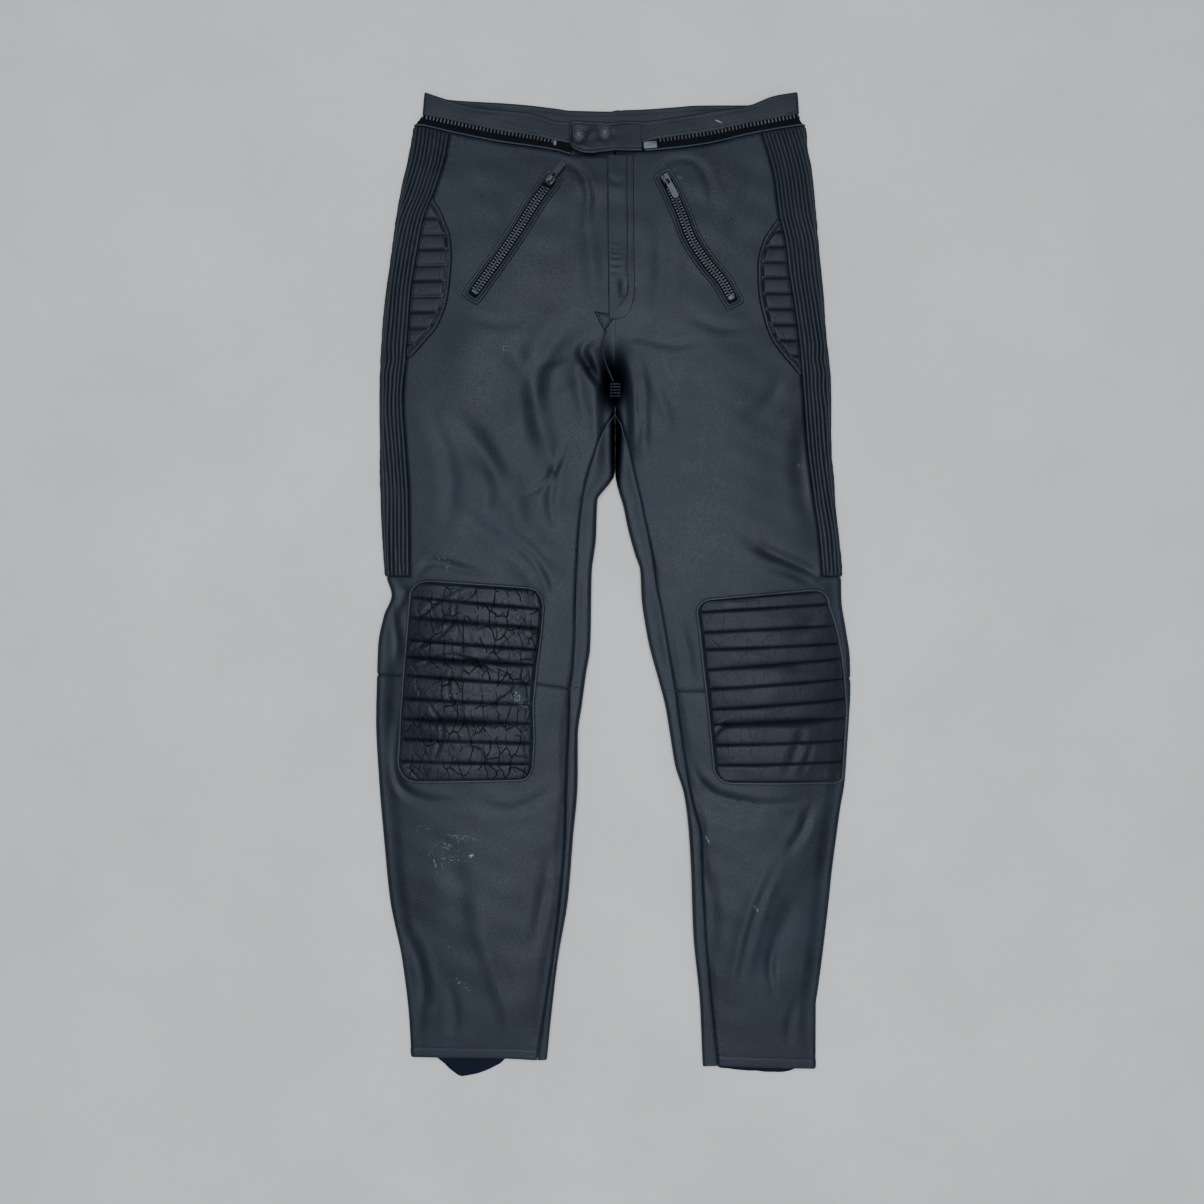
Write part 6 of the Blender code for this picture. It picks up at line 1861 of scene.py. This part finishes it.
def waist_stations(side, end):
    """Places along the waist zip from its front end round to the middle of the back."""
    front = np.linspace(float(place_of(side, end, 48.0)), 9.0, 60)
    turn = np.linspace(9.0, -9.0, 14)[1:]
    centre = float(place_of(side, BACK_MIDDLE, 45.0, under=True))
    return np.concatenate([front, turn, np.linspace(-9.0, centre, 40)[1:]])


def waist_row(side, stations, share, lift):
    """Points along the waist zip at a share of its width down from the band."""
    stations = np.asarray(stations, float)
    under = stations < 0.0
    steady = [lambda drop, place=place: place for place in stations]
    low = seam_drops(side, steady, "band_bottom", under) + WAIST_SEAM
    high = seam_drops(side, steady, "panel_top", under) - WAIST_SEAM
    drop = mix(low, high, share)
    points, normals = ring_point(side, stations, drop), ring_normal(side, stations, drop)
    rise = np.where(points[:, 2:] < 0.6, min(lift, 0.0), lift)
    return points + normals * rise


def waist_zip():
    """Half of the zip that joins a jacket: tape, cord, teeth, end stop and retainer box."""
    shares = (0.0, 0.08, 0.16, 0.22, 0.3, 0.4, 0.6, 0.8, 0.92, 1.0)
    rises = (-0.5, -0.1, 0.4, 0.5, 0.1, -0.3, -0.4, -0.4, -0.4, -0.5)
    grids = []
    for side, end in ((RIGHT, RIGHT_ZIP_END - 17.0), (LEFT, LEFT_ZIP_END - 17.0)):
        stations = waist_stations(side, end)
        top = np.array([waist_row(side, stations, s, r - TAPE_SUNK) for s, r in zip(shares, rises)])
        low = np.array([waist_row(side, stations, s, -1.9) for s in shares])
        grids.append((top, low))
    outer = np.concatenate([grids[0][0], grids[1][0][:, ::-1]], axis=1)
    inner = np.concatenate([grids[0][1], grids[1][1][:, ::-1]], axis=1)
    under = outer[..., 2] < 0.7
    outer[..., 2] = np.where(under, np.maximum(outer[..., 2], 0.0), outer[..., 2])
    inner[..., 2] = np.where(under, 1.2, np.maximum(inner[..., 2], 0.3))
    tape = wall("waist_zip_tape", outer, inner, TAPE)
    teeth = []
    for side, end in ((RIGHT, RIGHT_ZIP_END), (LEFT, LEFT_ZIP_END)):
        line = waist_row(side, waist_stations(side, end), 0.13, -0.2)
        lower = waist_row(side, waist_stations(side, end), 0.33, -0.2)
        front = line[:, 2] > 3.0
        spots = measured(np.hstack([line[front], lower[front]]), WAIST_TOOTH_PITCH)
        for here, before, after in zip(spots[1:-1], spots, spots[2:]):
            along = unit(after[:3] - before[:3])
            down = here[3:] - here[:3]
            down = unit(down - along * down.dot(along))
            teeth.append(block(here[:3] + down * 1.0, down, along, (4.7, 1.95, 2.2), 0.4, 3.2, 10))
    fitting("waist_zip_teeth", teeth, TEETH)
    box_row = waist_row(LEFT, [float(place_of(LEFT, 38.5, 55.0))], 0.5, -0.3)[0]
    stop_row = waist_row(RIGHT, [float(place_of(RIGHT, 60.5, 52.0))], 0.32, -0.2)[0]
    slope = np.array([0.995, 0.1, 0.0])
    up = np.array([-0.1, 0.995, 0.0])
    box = block(box_row, slope, up, (14.2, 7.4, 2.2), 0.5, 8.0, 24)
    ridge = block(box_row + slope * 0.5 + [0, 0, 2.0], slope, up, (9.0, 2.2, 0.5), 0.2, 5.0, 16)
    fitting("waist_zip_box", [box, ridge], BOX_PLASTIC)
    stop = block(stop_row, [1.0, -0.1, 0.0], [0.1, 1.0, 0.0], (3.2, 5.0, 2.0), 0.4, 6.0, 16)
    fitting("waist_zip_stop", [stop], BOX_PLASTIC)
    width = float(np.ptp(outer[0, :, 0])) * 2.02 * MM
    declare(tape, flat_cut(width, 0.0125, 0.97), "waist_zip")
    beads = []
    for side, end in ((RIGHT, 42.0), (LEFT, 32.0)):
        stations = waist_stations(side, end)
        line = waist_row(side, stations[:66], 0.97, 0.1)
        beads.append(tube(measured(line, 2.5), 0.95, 8))
    # The piping's lighter leather is a painted highlight on the bead
    fitting("waist_piping", beads, LIT_PIPING)


WELT_PROFILE = Table("offset rise", [
    (5.2, 0.5), (5.5, 1.3), (6.0, 2.0), (6.6, 2.3), (7.2, 2.0), (7.8, 1.2), (8.2, 0.9),
    (8.8, 1.35), (9.7, 1.5), (10.5, 1.2), (11.0, 0.45),
])
POCKET_STEPS = 60
POCKET_ENDS = (0.07, 0.93)
TAPE_ENDS = (0.045, 0.955)
CAP_STEPS = 16


def pocket_line(side, share):
    """Points and directions of a pocket zip's middle line, from its upper end."""
    table = side["pocket"]
    key = share * (len(table.rows) - 1)
    here = np.stack([table.read(key, "across"), table.read(key, "drop")], axis=-1)
    ahead = np.stack([table.read(key + 0.05, "across"), table.read(key + 0.05, "drop")], axis=-1)
    behind = np.stack([table.read(key - 0.05, "across"), table.read(key - 0.05, "drop")], axis=-1)
    along = ahead - behind
    return here, along / np.linalg.norm(along, axis=-1, keepdims=True)


def pocket_loop(side):
    """Spots and outward directions all round a pocket opening."""
    here, along = pocket_line(side, np.linspace(*POCKET_ENDS, POCKET_STEPS + 1))
    spots, ways = [], []
    for spot, way in zip(here, along):
        spots.append(spot)
        ways.append((way[1], -way[0]))
    for end, sign in ((-1, 1.0), (0, -1.0)):
        way = along[end] * sign
        side_way = np.array([along[end][1], -along[end][0]]) * sign
        if end == 0:
            for spot, run in zip(here[::-1], along[::-1]):
                spots.append(spot)
                ways.append((-run[1], run[0]))
        for step in range(1, CAP_STEPS):
            angle = math.pi * step / CAP_STEPS
            c, s = math.cos(angle), math.sin(angle)
            size = 1.0 / max(abs(c), abs(s)) ** 0.72
            spots.append(here[end])
            ways.append(tuple((side_way * c + way * s) * size))
    spots.append(spots[0])
    ways.append(ways[0])
    return np.array(spots), np.array(ways)


def pocket_zip(side):
    """Welts, tape, closed chain and end stop of one pocket zip."""
    name = side["name"]
    spots, ways = pocket_loop(side)
    offsets = WELT_PROFILE.values[:, 0]
    offsets = np.interp(np.linspace(0, len(offsets) - 1, 23), range(len(offsets)), offsets)
    across = spots[None, :, 0] + ways[None, :, 0] * offsets[:, None]
    drop = spots[None, :, 1] + ways[None, :, 1] * offsets[:, None]
    x = side["sign"] * across
    rise = WELT_PROFILE.read(offsets, "rise")[:, None] + 0.0 * x
    count = np.arange(x.shape[1])
    rise = rise + 0.12 * np.sin(count / 2.3) * smooth(7.2, 8.6, offsets)[:, None]
    base = front_height(x, drop) + REST
    # The welts' lighter leather is a painted highlight
    welts = layer(name + "_pocket_welts", x, drop, base, rise, LIT_WELT_LEATHER)
    threads = []
    for offset, lift in ((7.9, 1.3), (10.3, 1.65)):
        line_x = side["sign"] * (spots[:, 0] + ways[:, 0] * offset)
        threads.append(on_front(line_x, spots[:, 1] + ways[:, 1] * offset, lift + 0.05))
    thread = fitting(name + "_pocket_thread", stitches(threads), THREAD)
    here, along = pocket_line(side, np.linspace(*TAPE_ENDS, 64))
    widths = np.linspace(-5.6, 5.6, 13)
    tape_x = side["sign"] * (here[:, None, 0] + along[:, None, 1] * widths)
    tape_drop = here[:, None, 1] - along[:, None, 0] * widths
    ridge = 0.45 + 0.2 * bell(np.abs(widths) - 4.9, 0.5) + 0.0 * tape_x
    tape_base = front_height(tape_x, tape_drop) + 0.3
    tape = layer(name + "_pocket_tape", tape_x, tape_drop, tape_base, ridge, TAPE)
    length = float(np.sum(np.linalg.norm(np.diff(here, axis=0), axis=1)))
    declare(tape, ((0.0112, length * MM), 0.0112 * length * MM), None)
    around = float(np.sum(np.linalg.norm(np.diff(np.stack([x[11], drop[11]], -1), axis=0), axis=1)))
    declare(welts, ((0.0102, around * MM), 0.0090 * around * MM), name + "_pocket_zip")
    spots = measured(on_front(side["sign"] * here[:, 0], here[:, 1], 0.7), CHAIN_PITCH / 2)
    teeth, tops = [], []
    for number, (before, centre, after) in enumerate(zip(spots, spots[1:], spots[2:])):
        if number < CHAIN_START or number > len(spots) - 6:
            continue
        run = unit(after - before)
        out = unit(np.array([-run[1], run[0], 0.0]))
        way_out = out if number % 2 else -out
        teeth.append(block(centre + way_out * 1.0, out, run, (4.6, 1.25, 1.3), 0.35, 3.0, 10))
        tops.append(block(centre + way_out * 3.25, out, run, (2.2, 1.9, 1.75), 0.4, 3.0, 10))
    end, way = spots[-3], unit(spots[-3] - spots[-6])
    out = np.array([-way[1], way[0], 0.0])
    fitting(name + "_pocket_chain", teeth, TEETH)
    # The heads take the lighter copy of the teeth plastic: a painted highlight
    fitting(name + "_pocket_chain_lit_tops", tops, LIT_CHAIN_TOPS)
    stop = block(end - way * 2.5, way, out, (4.4, 6.6, 2.1), 0.5, 5.0, 20)
    plastic = BOX_PLASTIC if name == "left" else TEETH
    fitting(name + "_pocket_stop", [stop], plastic)


CHAIN_PITCH = 3.2
CHAIN_START = 5
LINING_INSIDE = 18.0


def hem_lining(side):
    """Lining that hangs out below the hem, between the front and the back."""
    name = side["name"]
    table = side["lining"]
    first, last = table.rows[0][0], table.rows[-1][0]
    across = np.linspace(first, last, 61)[None, :]
    down = np.linspace(0.0, 1.0, 26)[:, None]
    low = table.read(across, "drop")
    high = side["hem"].read(across, "drop") - LINING_INSIDE
    drop = mix(high, low, down)
    x = side["sign"] * across + 0.0 * drop
    fold = 0.5 * np.sin(across / 4.3 + drop / 9.0) + 0.35 * np.sin(across / 2.4 - drop / 6.0)
    level = 2.4 + fold * smooth(0.3, 1.0, down) - 0.9 * smooth(0.7, 1.0, down)
    piece = layer(name + "_lining_cloth", x, drop, level, LINING, LINING_CLOTH)
    width, length = float(last - first), float(np.max(drop) - np.min(drop))
    area = float(np.mean(low - high)) * width
    declare(piece, ((width * MM, length * MM), area * MM * MM), name + "_lining")


# Camera, light and floor

PHOTO_PIXELS = 1204.0
PIXEL_MM = 1.05
CENTRE_PIXEL = (613.25, 584.5)
VIEW_HEIGHT = 1.2676
OUTLINE_HEIGHT = 0.005
LENS = 36.1


def camera():
    """Straight down over the middle of the picture."""
    data = bpy.data.cameras.new("view")
    data.lens = LENS
    data.sensor_width = 36.0
    data.clip_start = 0.05
    made = bpy.data.objects.new("view", data)
    middle = PHOTO_PIXELS / 2
    x = (middle - CENTRE_PIXEL[0]) * PIXEL_MM * MM
    y = (CENTRE_PIXEL[1] - middle) * PIXEL_MM * MM
    made.location = (x, y, VIEW_HEIGHT + OUTLINE_HEIGHT)
    bpy.context.collection.objects.link(made)
    bpy.context.scene.camera = made


def area_light(name, place, aim, size, power, colour):
    data = bpy.data.lights.new(name, "AREA")
    data.shape = "RECTANGLE"
    data.size, data.size_y = size
    data.energy = power
    data.color = colour
    made = bpy.data.objects.new(name, data)
    made.location = place
    way = Vector(aim) - Vector(place)
    made.rotation_euler = way.to_track_quat("-Z", "Y").to_euler()
    bpy.context.collection.objects.link(made)


def floor():
    """Plain pale floor, just under the garment."""
    mesh = bmesh.new()
    bmesh.ops.create_grid(mesh, x_segments=2, y_segments=2, size=4.0)
    data = bpy.data.meshes.new("floor")
    mesh.to_mesh(data)
    mesh.free()
    made = bpy.data.objects.new("floor", data)
    made.location = (0.0, 0.0, -0.0006)
    bpy.context.collection.objects.link(made)
    material, tree, shader = blank("pale floor", (0.52, 0.52, 0.50), 0.85)
    tone = spread(tree, noise_at(tree, object_place(tree), 5.0, 5.0, 0.6), 0.3, 0.7)
    feed(tree, shader, Base_Color=blend(tree, tone, (0.585, 0.545, 0.495), (0.645, 0.60, 0.545)))
    data.materials.append(material)


def daylight():
    """Soft overcast light, a little brighter from the waist end."""
    world = bpy.data.worlds.new("overcast")
    bpy.context.scene.world = world
    world.use_nodes = True
    sky = world.node_tree.nodes["Background"]
    feed(world.node_tree, sky, Color=(0.76, 0.87, 1.0, 1.0), Strength=0.30)
    area_light("high cloud", (-0.05, 0.12, 2.6), (-0.05, 0.12, 0.0), (1.7, 3.1), 91.0,
               (0.80, 0.90, 1.0))
    area_light("low cloud", (0.3, -2.3, 1.5), (0.0, 0.0, 0.0), (1.6, 1.0), 12.0, (0.85, 0.92, 1.0))


def dress_metal():
    """The sliders and pulls keep their solids, with rounded edges and worn enamel."""
    for side in ("right", "left"):
        for kind, width in (("slider", 0.00035), ("pull", 0.00028)):
            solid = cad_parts[side + "_zip_" + kind]
            solid.data.materials.clear()
            solid.data.materials.append(SLIDER_METAL)
            edge = solid.modifiers.new("worn edges", "BEVEL")
            edge.width = width
            edge.segments = 3
            edge.limit_method = "ANGLE"
            edge.angle_limit = math.radians(35.0)
            edge.harden_normals = False


def main():
    camera()
    daylight()
    floor()
    for side in (RIGHT, LEFT):
        thigh_and_calf_back(side)
    inseam_edges()
    band_back()
    for side in (RIGHT, LEFT):
        thigh_front(side)
        shin_front(side)
        ribbed_side(side)
        hem_lining(side)
    band_front(RIGHT, 8.0, "waistband_right_leather", "waistband_right_front")
    band_front(LEFT, 30.0, "waistband_left_leather", "waistband_left_front")
    waist_zip()
    for side in (RIGHT, LEFT):
        knee_pad(side)
        hip_pad(side)
        pocket_zip(side)
    fly_placket()
    crotch_tack()
    waist_tab()
    for name, x, drop in SNAPS:
        snap_cap(name, x, drop)
    dress_metal()


main()
